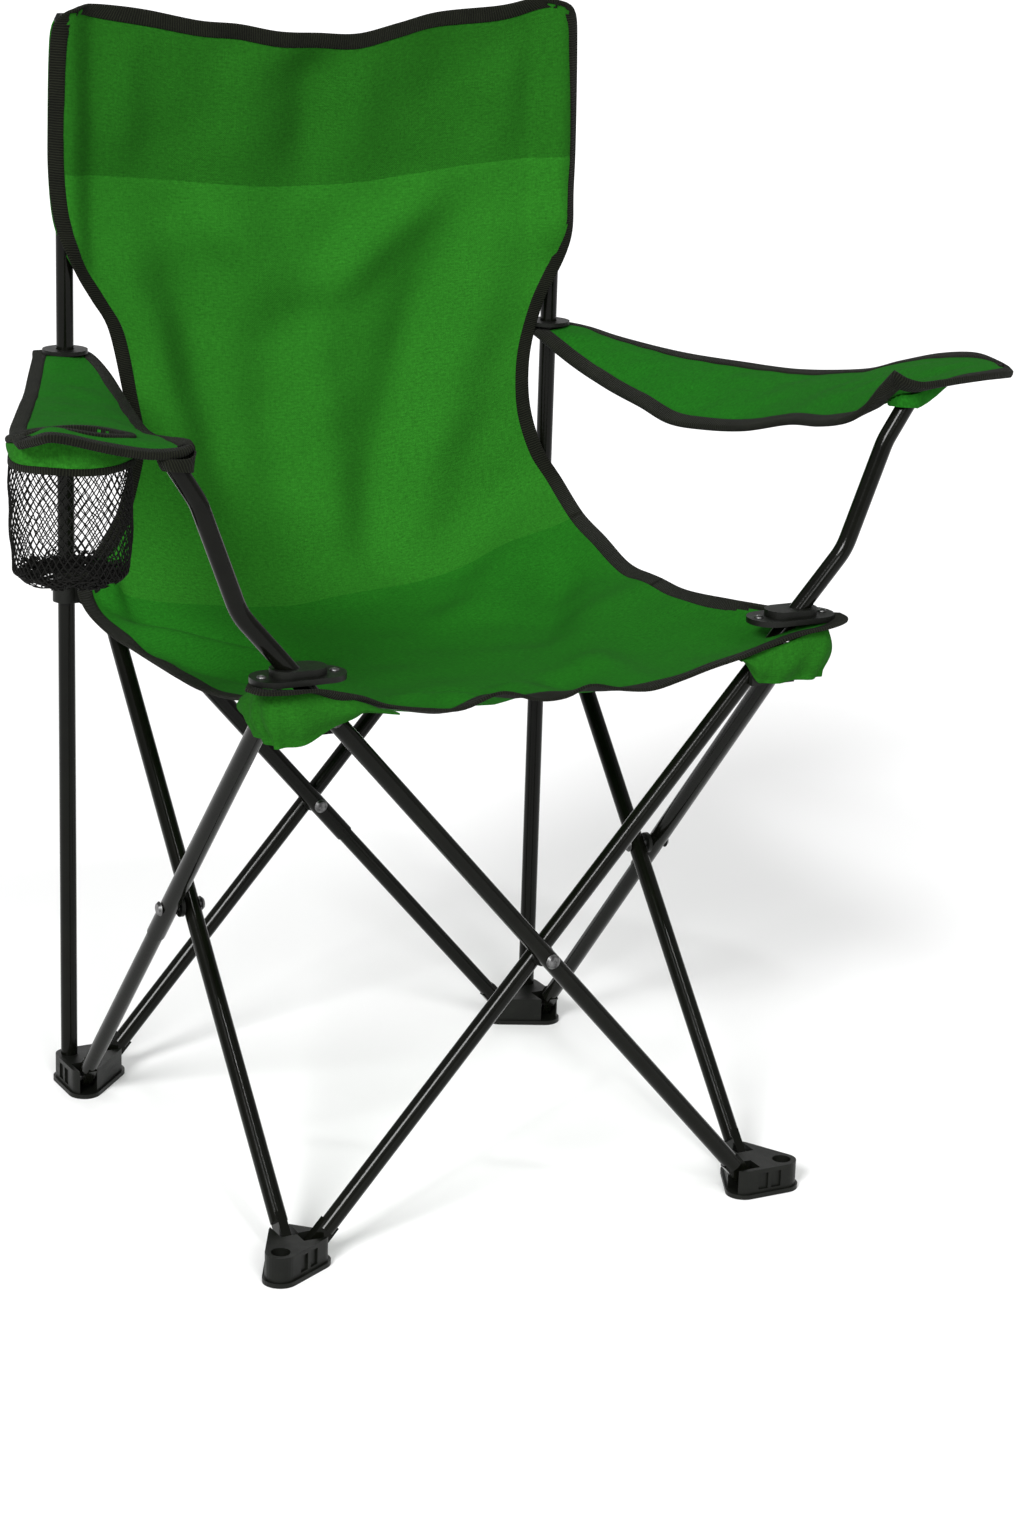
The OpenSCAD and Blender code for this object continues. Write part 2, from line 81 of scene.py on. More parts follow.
def smooth_path(points):
    """A smooth curve through the points, with SAMPLES places in each span."""
    p = np.array(points, float)
    p = np.vstack([2 * p[0] - p[1], p, 2 * p[-1] - p[-2]])
    t = np.linspace(0, 1, SAMPLES, endpoint=False)[:, None]
    spans = []
    for a, b, c, d in zip(p[:-3], p[1:-2], p[2:-1], p[3:]):
        bend = (2 * a - 5 * b + 4 * c - d) * t**2 + (3 * b - a - 3 * c + d) * t**3
        spans.append(0.5 * (2 * b + (c - a) * t + bend))
    return np.vstack(spans + [p[-2:-1]])


def distances(path):
    """How far along the path each of its points is."""
    return np.r_[0, np.cumsum(np.linalg.norm(np.diff(path, axis=0), axis=1))]


def points_at(wanted, at, path):
    """The path at wanted places, where at gives the place of each of its points."""
    return np.stack([np.interp(wanted, at, path[:, k]) for k in range(path.shape[1])], 1)


def resample(path, count):
    """The same line at evenly spaced places."""
    at = distances(path)
    return points_at(np.linspace(0, at[-1], count), at, path)


def curve(points, count):
    return resample(smooth_path(points), count)


def guide(points, keys, rows):
    """A curve whose stretches between key points have the given numbers of rows."""
    fine = smooth_path(points)
    parts = []
    for first, last, count in zip(keys, keys[1:], rows):
        stretch = fine[first * SAMPLES:last * SAMPLES + 1]
        parts.append(resample(stretch, count + 1)[:-1])
    return np.vstack(parts + [fine[-1:]])


def across(guides, places, u):
    """Smooth interpolation between guide curves that lie at the given places, for all u at once."""
    g = np.stack(guides)
    slope = np.gradient(g, np.array(places), axis=0)
    span = np.clip(np.searchsorted(places, u, side="right") - 1, 0, len(places) - 2)
    low, high = np.array(places)[span], np.array(places)[span + 1]
    size = (high - low)[:, None, None]
    t = ((u - low) / (high - low))[:, None, None]
    made = (
        (2 * t**3 - 3 * t**2 + 1) * g[span]
        + (t**3 - 2 * t**2 + t) * size * slope[span]
        + (3 * t**2 - 2 * t**3) * g[span + 1]
        + (t**3 - t**2) * size * slope[span + 1]
    )
    return np.transpose(made, (1, 0, 2))


def unit(v):
    return v / np.maximum(np.linalg.norm(v, axis=-1, keepdims=True), 1e-12)


def grid_normals(points):
    return unit(np.cross(np.gradient(points, axis=1), np.gradient(points, axis=0)))


def grid_lengths(points):
    """Cloth coordinates in metres: the distance across from the middle column, and down the middle."""
    step = np.linalg.norm(np.diff(points, axis=1), axis=2)
    u = np.concatenate([np.zeros((len(points), 1)), np.cumsum(step, axis=1)], axis=1)
    middle = points.shape[1] // 2
    u -= u[:, middle:middle + 1]
    v = np.repeat(distances(points[:, middle])[:, None], points.shape[1], axis=1)
    return np.stack([u, v], axis=2)


def softly(low, high, x):
    """0 below low, 1 above high, smooth between."""
    t = np.clip((x - low) / (high - low), 0, 1)
    return t * t * (3 - 2 * t)


def waves(p, size, seed, count=24):
    """Smooth random field in -1..1 over points, with waves about size long."""
    chance = np.random.default_rng(seed)
    turn = unit(chance.normal(size=(count, p.shape[-1]))) * (2 * math.pi / size)
    turn *= chance.uniform(0.5, 1.4, (count, 1))
    phase = chance.uniform(0, 2 * math.pi, count)
    return np.sin(p @ turn.T + phase).sum(-1) / math.sqrt(count)


# ---- meshes --------------------------------------------------------------------------------------

def mesh_piece(name, verts, faces, material, uv=None, smooth=True):
    mesh = bpy.data.meshes.new(name)
    mesh.from_pydata([tuple(map(float, v)) for v in verts], [], [tuple(map(int, f)) for f in faces])
    if uv is not None:
        layer = mesh.uv_layers.new(name="cloth")
        loops = np.zeros(len(mesh.loops), np.int32)
        mesh.loops.foreach_get("vertex_index", loops)
        layer.data.foreach_set("uv", np.asarray(uv, np.float32)[loops].ravel())
    mesh.polygons.foreach_set("use_smooth", [smooth] * len(mesh.polygons))
    mesh.materials.append(material)
    mesh.validate()
    mark_border(mesh)
    piece = bpy.data.objects.new(name, mesh)
    bpy.context.scene.collection.objects.link(piece)
    return piece


def mark_border(mesh):
    """Keeps the shading of an open border apart from the rim that a thickness adds to it."""
    edges = np.zeros(len(mesh.loops), np.int32)
    mesh.loops.foreach_get("edge_index", edges)
    used = np.bincount(edges, minlength=len(mesh.edges))
    mesh.edges.foreach_set("use_edge_sharp", used == 1)


def grid_faces(rows, cols, around=False, start=0):
    """Quads of a grid of points; around joins the last column to the first."""
    wide = cols if around else cols - 1
    r, c = np.meshgrid(np.arange(rows - 1), np.arange(wide), indexing="ij")
    right = (c + 1) % cols
    quad = np.stack([r * cols + c, r * cols + right, (r + 1) * cols + right, (r + 1) * cols + c], -1)
    return quad.reshape(-1, 4) + start


def cloth_piece(name, points, material, thick=CLOTH, around=False, uv=None):
    """A cloth from a grid of points; around joins its last column to the first."""
    points = np.array(points)
    if uv is None:
        uv = grid_lengths(points)
    faces = grid_faces(*points.shape[:2], around)
    piece = mesh_piece(name, points.reshape(-1, 3), faces, material, uv.reshape(-1, 2))
    layer = piece.modifiers.new("thickness", "SOLIDIFY")
    layer.thickness = thick
    layer.offset = 0
    return piece


def full_turn(count):
    """Evenly spaced angles round a circle."""
    return np.linspace(0, 2 * math.pi, count, endpoint=False)


def sweep(paths, outline, closed=False):
    """Tubes along paths of (points, side directions); outline has a row (side, up) for each corner."""
    verts, faces, uvs, start = [], [], [], 0
    count = len(outline)
    for points, sides in paths:
        tangent = np.gradient(points, axis=0)
        if closed:
            tangent = np.roll(points, -1, axis=0) - np.roll(points, 1, axis=0)
        tangent = unit(tangent)
        side = unit(sides - (sides * tangent).sum(1, keepdims=True) * tangent)
        up = np.cross(tangent, side)
        rings = points[:, None] + side[:, None] * outline[:, :1] + up[:, None] * outline[:, 1:]
        n = len(points)
        uv = np.stack([np.repeat(distances(points)[:, None], count, 1), np.tile(outline[:, 0], (n, 1))], -1)
        verts.append(rings.reshape(-1, 3))
        uvs.append(uv.reshape(-1, 2))
        faces.extend(grid_faces(n, count, around=True, start=start).tolist())
        last = start + (n - 1) * count
        if closed:
            for k in range(count):
                m = (k + 1) % count
                faces.append([last + k, last + m, start + m, start + k])
        else:
            faces.append([start + k for k in range(count)][::-1])
            faces.append([last + k for k in range(count)])
        start += n * count
    return np.vstack(verts), faces, np.vstack(uvs)


# Section of a folded tape: (share of the width inwards from the rim, share of the thickness).
TAPE_OUTLINE = [(-0.14, 0), (-0.10, -0.40), (0.03, -0.52), (0.30, -0.50), (0.62, -0.47), (0.90, -0.42),
                (1.0, -0.20), (1.0, 0.20), (0.90, 0.42), (0.62, 0.47), (0.30, 0.50), (0.03, 0.52),
                (-0.10, 0.40)]


def tape_piece(name, rim, inner, cloth=None, closed=False, width=TAPE_WIDTH, thick=TAPE_THICK):
    """Ribbed edging folded over the rim of a cloth; inner is a line of points further in on the cloth.
    With a cloth, a grid of points, the tape bends to follow it."""
    outline = np.array(TAPE_OUTLINE) * [width, thick]
    inward = unit(inner - rim)
    for _ in range(3):
        inward[1:-1] = unit(inward[:-2] + 2 * inward[1:-1] + inward[2:])
    verts, faces, uv = sweep([(rim, inward)], outline, closed)
    if cloth is not None:
        verts = lay_on(verts, rim, inward, outline, cloth)
    return mesh_piece(name, verts, faces, MATERIALS["tape"], uv)


def lay_on(verts, rim, inward, outline, cloth):
    """Moves a tape's points onto both faces of the cloth, wherever they lie inside its rim."""
    tree = BVHTree.FromPolygons(cloth.reshape(-1, 3).tolist(), grid_faces(*cloth.shape[:2]).tolist())
    middle = rim[:, None] + inward[:, None] * outline[None, :, :1]
    rings = verts.reshape(len(rim), len(outline), 3).copy()
    for i in range(len(rim)):
        for k, (inwards, height) in enumerate(outline):
            if inwards <= 0:
                continue
            found, normal, _, _ = tree.find_nearest(Vector(middle[i, k]))
            lift = rings[i, k] - middle[i, k]
            normal = np.array(normal) * np.sign(lift @ np.array(normal) or 1)
            rings[i, k] = np.array(found) + normal * abs(height)
    return rings.reshape(-1, 3)


def stitch_piece(name, lines, material, pitch=0.0034, length=0.0026, radius=0.00055):
    """Rows of short stitches. Each line gives (points, normals) on the cloth's face."""
    rings = [(-0.5, 0.3), (-0.34, 0.9), (0.34, 0.9), (0.5, 0.3)]
    turns = np.linspace(0, 2 * math.pi, 6)[:-1]
    ring = np.array([[(a * length, math.cos(t) * r * radius, math.sin(t) * r * radius) for t in turns]
                     for a, r in rings])
    rows, cols = ring.shape[:2]
    base_faces = grid_faces(rows, cols, around=True).tolist()
    base_faces += [list(range(cols))[::-1], [(rows - 1) * cols + k for k in range(cols)]]
    base_faces = [np.array(f) for f in base_faces]
    verts, faces, start = [], [], 0
    for points, normals in lines:
        count = max(int(distances(points)[-1] / pitch), 2)
        both = resample(np.hstack([points, normals * 1e-6]), count)
        at, up = both[:, :3], unit(both[:, 3:])
        along = unit(np.gradient(at, axis=0))
        up = unit(up - (up * along).sum(1, keepdims=True) * along)
        side = np.cross(along, up)
        for k in range(len(at)):
            local = ring.reshape(-1, 3)
            lift = 0.3 * radius
            place = at[k] + local[:, :1] * along[k] + local[:, 1:2] * side[k]
            verts.append(place + (local[:, 2:] + lift) * up[k])
            faces.extend((f + start).tolist() for f in base_faces)
            start += len(local)
    return mesh_piece(name, np.vstack(verts), faces, material)


# ---- materials -----------------------------------------------------------------------------------

class Nodes:
    """A material with a Principled shader, and short calls for the nodes that feed it."""

    def __init__(self, name, roughness, **sockets):
        self.material = bpy.data.materials.new(name)
        self.material.use_nodes = True
        self.tree = self.material.node_tree
        self.shader = self.tree.nodes["Principled BSDF"]
        self.shader.inputs["Roughness"].default_value = roughness
        for socket, value in sockets.items():
            self.shader.inputs[socket.replace("_", " ")].default_value = value

    def node(self, kind, *inputs, **settings):
        made = self.tree.nodes.new(kind)
        for key, value in settings.items():
            setattr(made, key, value)
        for place, value in enumerate(inputs):
            self.put(made.inputs[place], value)
        return made

    def put(self, socket, value):
        if value is None:
            return
        if hasattr(value, "is_output"):
            self.tree.links.new(value, socket)
        else:
            socket.default_value = value

    def math(self, how, *values):
        return self.node("ShaderNodeMath", *values, operation=how).outputs[0]

    def noise(self, where, scale, detail=2.0, rough=0.5):
        return self.node("ShaderNodeTexNoise", where, None, scale, detail, rough).outputs["Fac"]

    def place(self):
        return self.node("ShaderNodeTexCoord").outputs["Object"]

    def cloth_uv(self):
        return self.node("ShaderNodeUVMap", uv_map="cloth").outputs["UV"]

    def stretched(self, where, sizes):
        return self.node("ShaderNodeMapping", where, None, None, sizes).outputs["Vector"]

    def ramp(self, value, stops):
        made = self.node("ShaderNodeValToRGB", value)
        ramp = made.color_ramp
        while len(ramp.elements) < len(stops):
            ramp.elements.new(0.5)
        for element, (at, colour) in zip(ramp.elements, stops):
            element.position = at
            element.color = (*colour, 1)
        return made.outputs["Color"]

    def tones(self, value, colour, *stops):
        """Shades of one colour by the value; each stop is (place, how bright)."""
        return self.ramp(value, [(at, shade(colour, bright)) for at, bright in stops])

    def mix(self, share, a, b, how="MIX"):
        made = self.tree.nodes.new("ShaderNodeMix")
        made.data_type = "RGBA"
        made.blend_type = how
        self.put(made.inputs["Factor"], share)
        self.put(made.inputs["A"], a)
        self.put(made.inputs["B"], b)
        return made.outputs["Result"]

    def finish(self, colour, roughness=None, height=None, depth=0.001, strength=1.0):
        self.put(self.shader.inputs["Base Color"], colour)
        if roughness is not None:
            self.put(self.shader.inputs["Roughness"], roughness)
        if height is not None:
            bump = self.node("ShaderNodeBump")
            bump.inputs["Strength"].default_value = strength
            bump.inputs["Distance"].default_value = depth
            self.put(bump.inputs["Height"], height)
            self.tree.links.new(bump.outputs["Normal"], self.shader.inputs["Normal"])
        return self.material


def shade(colour, factor):
    return tuple(c * factor for c in colour)


def woven_cloth(name, colour, pitch=0.00075):
    """Plain-weave polyester: over-and-under threads, uneven yarn, faint dye mottling."""
    n = Nodes(name, 0.9, Sheen_Weight=0.01, Sheen_Roughness=0.5, Specular_IOR_Level=0.015)
    n.shader.inputs["Sheen Tint"].default_value = (0.55, 0.9, 0.5, 1)
    uv = n.cloth_uv()
    parts = n.node("ShaderNodeSeparateXYZ", uv)
    turn = math.pi / pitch
    warp = n.math("SINE", n.math("MULTIPLY", parts.outputs[0], turn))
    weft = n.math("SINE", n.math("MULTIPLY", parts.outputs[1], turn))
    weave = n.math("MULTIPLY", warp, weft)
    yarn_up = n.noise(n.stretched(uv, (1 / pitch, 90, 1)), 1.0, 1.0)
    yarn_side = n.noise(n.stretched(uv, (90, 1 / pitch, 1)), 1.0, 1.0)
    yarn = n.math("MULTIPLY", n.math("ADD", yarn_up, yarn_side), 0.5)
    grain = n.noise(uv, 800, 2.0, 0.65)
    slub = n.noise(n.stretched(uv, (1, 2.2, 1)), 260, 2.0, 0.6)
    mottle = n.noise(n.place(), 9, 4.0, 0.6)
    speckle = n.math("ADD", n.math("MULTIPLY", yarn, 0.25),
                     n.math("ADD", n.math("MULTIPLY", grain, 0.4), n.math("MULTIPLY", slub, 0.35)))
    fine = n.tones(speckle, colour, (0.32, 0.62), (0.5, 1), (0.68, 1.42))
    cloudy = n.ramp(mottle, [(0.3, (0.95, 0.96, 0.95)), (0.7, (1.04, 1.03, 1.02))])
    tint = n.mix(1.0, fine, cloudy, "MULTIPLY")
    rough = n.math("ADD", n.math("MULTIPLY", grain, 0.2), 0.78)
    height = n.math("ADD", n.math("MULTIPLY", weave, 0.55), n.math("MULTIPLY", yarn, 1.4))
    return n.finish(tint, rough, height, depth=0.00022, strength=0.55)


def ribbed_tape(name, colour, rib=0.0019):
    """Grosgrain edging: ribs across the tape."""
    n = Nodes(name, 0.8, Sheen_Weight=0.02, Specular_IOR_Level=0.06)
    parts = n.node("ShaderNodeSeparateXYZ", n.cloth_uv())
    wobble = n.math("MULTIPLY", n.noise(n.place(), 260, 1.0), 0.0009)
    along = n.math("ADD", parts.outputs[0], wobble)
    ridge = n.math("SINE", n.math("MULTIPLY", along, 2 * math.pi / rib))
    fuzz = n.noise(n.place(), 1900, 2.0)
    wear = n.noise(n.place(), 45, 3.0, 0.6)
    # The rib colour darkens towards each valley between the ribs: painted shade in the grooves.
    ribs = n.tones(n.math("MULTIPLY_ADD", ridge, 0.5, 0.5), colour, (0.1, 0.45), (0.6, 1), (1.0, 1.35))
    worn = n.ramp(wear, [(0.3, (0.8, 0.8, 0.8)), (0.75, (1.3, 1.3, 1.25))])
    tint = n.mix(1.0, ribs, worn, "MULTIPLY")
    height = n.math("ADD", ridge, n.math("MULTIPLY", fuzz, 0.6))
    return n.finish(tint, None, height, depth=0.0005, strength=0.9)


def gloss_paint(name, colour):
    """Black powder coat on steel tube: faint orange peel, fine dust and rubbed streaks."""
    n = Nodes(name, 0.2, Specular_IOR_Level=0.12)
    where = n.place()
    peel = n.noise(where, 420, 2.0)
    streak = n.noise(n.stretched(where, (60, 60, 14)), 1.0, 4.0, 0.7)
    dust = n.noise(where, 30, 5.0, 0.7)
    tint = n.tones(dust, colour, (0.35, 1), (0.62, 1.6), (0.85, 3.0))
    rough = n.math("ADD", n.math("MULTIPLY", streak, 0.12), 0.10)
    return n.finish(tint, rough, peel, depth=0.00012, strength=0.35)


def moulded_plastic(name, colour):
    """Nylon moulding: spark-eroded texture, scuffs and a little ingrained dust."""
    n = Nodes(name, 0.45, Specular_IOR_Level=0.16)
    where = n.place()
    texture = n.noise(where, 1500, 3.0, 0.6)
    scuff = n.noise(n.stretched(where, (40, 40, 220)), 1.0, 4.0, 0.75)
    dust = n.noise(where, 60, 4.0, 0.65)
    clean = n.tones(dust, colour, (0.3, 0.75), (0.55, 1), (0.85, 1.9))
    scuffed = n.math("MULTIPLY", n.math("GREATER_THAN", scuff, 0.66), 0.35)
    tint = n.mix(scuffed, clean, (*shade(colour, 3.2), 1))
    rough = n.math("ADD", n.math("MULTIPLY", scuff, 0.35), 0.26)
    return n.finish(tint, rough, texture, depth=0.00016, strength=0.5)


def rivet_steel(name, colour):
    """Blackened rivets, brighter where the heads are rubbed."""
    n = Nodes(name, 0.35, Metallic=0.9)
    rub = n.noise(n.place(), 220, 3.0, 0.6)
    tint = n.tones(rub, colour, (0.4, 1), (0.7, 4.0))
    return n.finish(tint, n.math("MULTIPLY_ADD", rub, 0.4, 0.18), rub, depth=0.0001, strength=0.4)


def thread(name, colour):
    """Sewing thread."""
    n = Nodes(name, 0.6, Sheen_Weight=0.2)
    twist = n.noise(n.place(), 2600, 1.0)
    return n.finish(n.tones(twist, colour, (0.3, 0.7), (0.7, 1.3)), None, twist, depth=0.0001)


def net_cord(name, colour):
    """Knotted polyester cord of the cup pocket."""
    n = Nodes(name, 0.7, Specular_IOR_Level=0.12)
    where = n.place()
    strand = n.noise(where, 1800, 2.0)
    fade = n.noise(where, 40, 2.0)
    uneven = n.tones(strand, colour, (0.3, 0.6), (0.7, 1.6))
    faded = n.tones(fade, (1, 1, 1), (0.3, 0.8), (0.8, 1.3))
    return n.finish(n.mix(1.0, uneven, faded, "MULTIPLY"), None, strand, depth=0.0002)


def pale_floor():
    n = Nodes("floor", 0.85)
    soft = n.noise(n.place(), 1.3, 2.0)
    return n.finish(n.tones(soft, (1, 1, 1), (0.3, 0.86), (0.7, 0.89)))


GREEN = (0.0150, 0.1130, 0.0090)
MATERIALS = {
    "cloth": woven_cloth("green_cloth", GREEN),
    "cloth_double": woven_cloth("green_cloth_double", shade(GREEN, 0.74)),
    # The armrests and the seat get darker copies of the same green cloth: painted shade for surfaces that
    # face up and take less light.
    "cloth_arm_painted_shade": woven_cloth("green_cloth_arm", (0.0085, 0.0900, 0.0065)),
    "cloth_seat_painted_shade": woven_cloth("green_cloth_seat", (0.0100, 0.0980, 0.0070)),
    "tape": ribbed_tape("edging_tape", (0.0075, 0.0084, 0.0052)),
    "tube": gloss_paint("black_gloss_paint", (0.0018, 0.0020, 0.0013)),
    "plastic": moulded_plastic("moulded_black_nylon", (0.0042, 0.0047, 0.0036)),
    "rivet": rivet_steel("blackened_steel", (0.05, 0.05, 0.05)),
    "thread_green": thread("green_thread", (0.009, 0.062, 0.006)),
    "net": net_cord("black_net_cord", (0.0035, 0.0035, 0.0030)),
}
SLOT_FINISH = {"black_tube": "tube", "black_plastic": "plastic", "rivet": "rivet"}


def finish_cad_nodes():
    """Gives every CAD node that stays visible its detailed material."""
    for part in frame["record"]["subparts"]:
        finish = SLOT_FINISH.get(part["material_slot"])
        if finish is None:
            continue
        mesh = NODES[part["node"]].data
        mesh.materials.clear()
        mesh.materials.append(MATERIALS[finish])


# ---- seat and back -------------------------------------------------------------------------------

# Guide curves from the top edge down the back and over the seat to its front edge.
LEFT_EDGE = [
    (-.196, .2045, .8365), (-.208, .205, .832), (-.2145, .205, .822), (-.2165, .205, .800),
    (-.2175, .205, .756), (-.2175, .205, .717), (-.214, .204, .680), (-.206, .1965, .655),
    (-.186, .197, .624), (-.171, .199, .599), (-.159, .200, .549), (-.153, .200, .518),
    (-.156, .198, .491), (-.170, .192, .455), (-.190, .183, .432), (-.208, .171, .415),
    (-.211, .148, .400), (-.206, .115, .389), (-.201, .075, .385), (-.199, .035, .3840),
    (-.199, 0, .3845), (-.200, -.045, .387), (-.201, -.095, .394), (-.205, -.135, .405),
    (-.214, -.168, .421), (-.228, -.195, .432), (-.2375, -.212, .4338)]
RIGHT_EDGE = [
    (.196, .2045, .8375), (.2095, .205, .833), (.217, .205, .823), (.2195, .205, .800),
    (.2215, .205, .760), (.2225, .205, .718), (.2215, .2045, .688), (.217, .199, .658),
    (.209, .1965, .633), (.195, .197, .605), (.1860, .199, .570), (.1845, .200, .540),
    (.1880, .199, .512), (.1975, .195, .483), (.2075, .182, .462), (.2070, .142, .441),
    (.2045, .100, .431), (.2025, .065, .4215), (.200, .040, .4195), (.200, .018, .4200),
    (.200, 0, .4202), (.200, -.028, .4195), (.200, -.057, .422), (.200, -.100, .428),
    (.204, -.145, .4335), (.219, -.173, .4350), (.2375, -.190, .4360)]
LEFT_INNER = [
    (-.150, .206, .834), (-.152, .209, .800), (-.153, .211, .755), (-.153, .211, .711),
    (-.148, .210, .660), (-.133, .210, .600), (-.120, .209, .545), (-.120, .204, .490),
    (-.130, .193, .445), (-.140, .176, .415), (-.146, .156, .397), (-.147, .125, .386),
    (-.146, .080, .380), (-.145, .040, .3785), (-.145, 0, .379), (-.145, -.05, .382),
    (-.146, -.10, .389), (-.148, -.145, .398), (-.150, -.180, .409), (-.152, -.212, .419)]
MIDDLE = [
    (0, .2075, .8135), (0, .214, .775), (0, .2165, .735), (0, .2175, .698),
    (0, .2185, .650), (0, .219, .590), (0, .216, .530), (0, .209, .475),
    (0, .198, .430), (0, .184, .400), (0, .165, .384), (0, .135, .3755),
    (0, .090, .3715), (0, .045, .3705), (0, 0, .372), (0, -.05, .376),
    (0, -.10, .3825), (0, -.15, .391), (0, -.180, .3965), (0, -.195, .3995)]
RIGHT_INNER = [
    (.152, .206, .832), (.155, .209, .800), (.157, .211, .755), (.157, .211, .713),
    (.155, .211, .665), (.146, .211, .605), (.137, .210, .548), (.137, .206, .497),
    (.143, .197, .455), (.148, .180, .430), (.150, .152, .413), (.150, .120, .405),
    (.149, .080, .400), (.149, .040, .397), (.149, 0, .397), (.149, -.05, .398),
    (.150, -.10, .402), (.151, -.145, .407), (.152, -.180, .413), (.152, -.2055, .4175)]
TOP_EDGE = [
    LEFT_EDGE[0], (-.184, .205, .8375), (-.161, .206, .8355), (-.137, .206, .832),
    (-.097, .207, .824), (-.065, .2075, .821), (-.032, .2075, .815), (.001, .2075, .8135),
    (.034, .2075, .8125), (.068, .2075, .820), (.102, .207, .828), (.153, .206, .832),
    (.180, .205, .837), RIGHT_EDGE[0]]
FRONT_EDGE = [
    LEFT_EDGE[-1], (-.232, -.224, .4335), (-.214, -.2275, .433), (-.192, -.2268, .4325),
    (-.171, -.222, .4265), (-.154, -.215, .4205), (-.132, -.209, .411), (-.100, -.203, .4035),
    (-.071, -.199, .400), (-.040, -.197, .4075), (-.010, -.195, .399), (.012, -.195, .399),
    (.031, -.195, .405), (.055, -.195, .400), (.079, -.196, .3975), (.103, -.198, .403),
    (.125, -.201, .410), (.150, -.205, .417), (.175, -.209, .4255), (.195, -.2125, .4315),
    (.213, -.2140, .4340), (.227, -.2105, .4355), (.2355, -.2025, .4360), RIGHT_EDGE[-1]]
GUIDE_AT = [-1, -0.7, 0, 0.7, 1]
EDGE_KEYS = [0, 5, 15, 20, 26]          # top, yoke seam, back and seat seam, middle of the seat, front
INNER_KEYS = [0, 3, 10, 14, 19]
ROWS = [28, 78, 44, 50]
COLUMNS = 121
YOKE_END, BACK_END, SEAT_MID = np.cumsum(ROWS)[:3]

# Soft folds: from and to (metres across, metres down the middle), half width, and height, which
# FOLD_DEPTH scales for all of them.
FOLD_DEPTH = 2.7
FOLDS = [
    ((-.100, .128), (-.008, .205), .016, -.0035), ((.100, .130), (.008, .205), .016, -.0035),
    ((-.165, .150), (-.090, .400), .020, -.0045), ((-.120, .140), (-.060, .420), .016, .0030),
    ((.170, .150), (.075, .430), .022, -.0045), ((.120, .150), (.040, .420), .018, .0035),
    ((.010, .230), (.020, .440), .016, -.0030), ((-.040, .220), (-.020, .440), .015, .0025),
    ((-.155, .020), (-.160, .115), .012, -.0022), ((-.058, .010), (-.052, .112), .018, -.0028),
    ((-.004, .004), (.004, .118), .016, .0042), ((.040, .010), (.030, .112), .018, -.0026),
    ((.110, .020), (.130, .110), .018, .0022),
    ((.165, .030), (.160, .110), .012, -.0022),
    ((-.195, .450), (-.060, .560), .014, .0040), ((-.195, .480), (-.080, .610), .012, -.0038),
    ((-.190, .530), (-.100, .680), .012, .0030), ((.185, .420), (.060, .540), .018, -.0040),
    ((.190, .470), (.090, .620), .015, .0035), ((.180, .560), (.050, .760), .018, -.0030),
    ((-.060, .800), (-.075, .700), .011, -.0030), ((-.035, .810), (-.030, .700), .011, .0035),
    ((.000, .810), (.005, .720), .010, -.0028), ((.032, .810), (.045, .710), .011, .0030),
    ((.080, .810), (.095, .700), .013, -.0030), ((-.200, .840), (-.120, .700), .012, .0030)]


def fold_height(uv):
    total = np.zeros(uv.shape[:2])
    for start, end, width, height in FOLDS:
        a, b = np.array(start), np.array(end)
        line = b - a
        t = ((uv - a) @ line) / (line @ line)
        near = uv - (a + np.clip(t, 0, 1)[..., None] * line)
        away = np.linalg.norm(near, axis=-1)
        ends = softly(-0.15, 0.35, t) * (1 - softly(0.65, 1.15, t))
        total += FOLD_DEPTH * height * ends * np.exp(-0.5 * (away / width) ** 2)
    return total


YOKE_PROUD = 0.0004           # the doubled yoke stands this far in front of the back


def sleeve_bulge(points):
    """How far the front layer stands out over an upright, inside the sleeves beside it."""
    beside = np.abs(np.abs(points[..., 0]) - UPRIGHT_AT + 0.0008) / 0.0200
    high = softly(0.625, 0.672, points[..., 2])
    return 0.0112 * np.maximum(1 - beside**2, 0) ** 1.5 * high


def lift_over_tube(points, start, end, reach):
    """Raises the cloth where it would lie in a tube that runs from start to end."""
    a, b = np.array(start), np.array(end)
    line = (b - a)[:2]
    t = ((points[..., :2] - a[:2]) @ line) / (line @ line)
    away = np.linalg.norm(points[..., :2] - (a[:2] + t[..., None] * line), axis=-1)
    rise = (b - a)[2]
    lean = math.hypot(1, rise / np.linalg.norm(line))
    top = a[2] + t * rise + lean * np.sqrt(np.maximum(reach**2 - away**2, 0))
    inside = (away < reach) & (t > -0.05) & (t < 1.02)
    points[..., 2] = np.where(inside, np.maximum(points[..., 2], top), points[..., 2])


def smooth_grid(points, times):
    """Relaxes the inner points of a grid a little."""
    for _ in range(times):
        mean = (points[:-2, 1:-1] + points[2:, 1:-1] + points[1:-1, :-2] + points[1:-1, 2:]) / 4
        points[1:-1, 1:-1] += 0.5 * (mean - points[1:-1, 1:-1])


PIVOT_AT = 0.172              # an inner side tube's two pivots: how far along the seat, and how high
FOOT_PIVOT, HUB_PIVOT = 0.014, 0.406
TUBE_CLEAR = 0.0125           # from a tube's axis to the cloth that lies on it


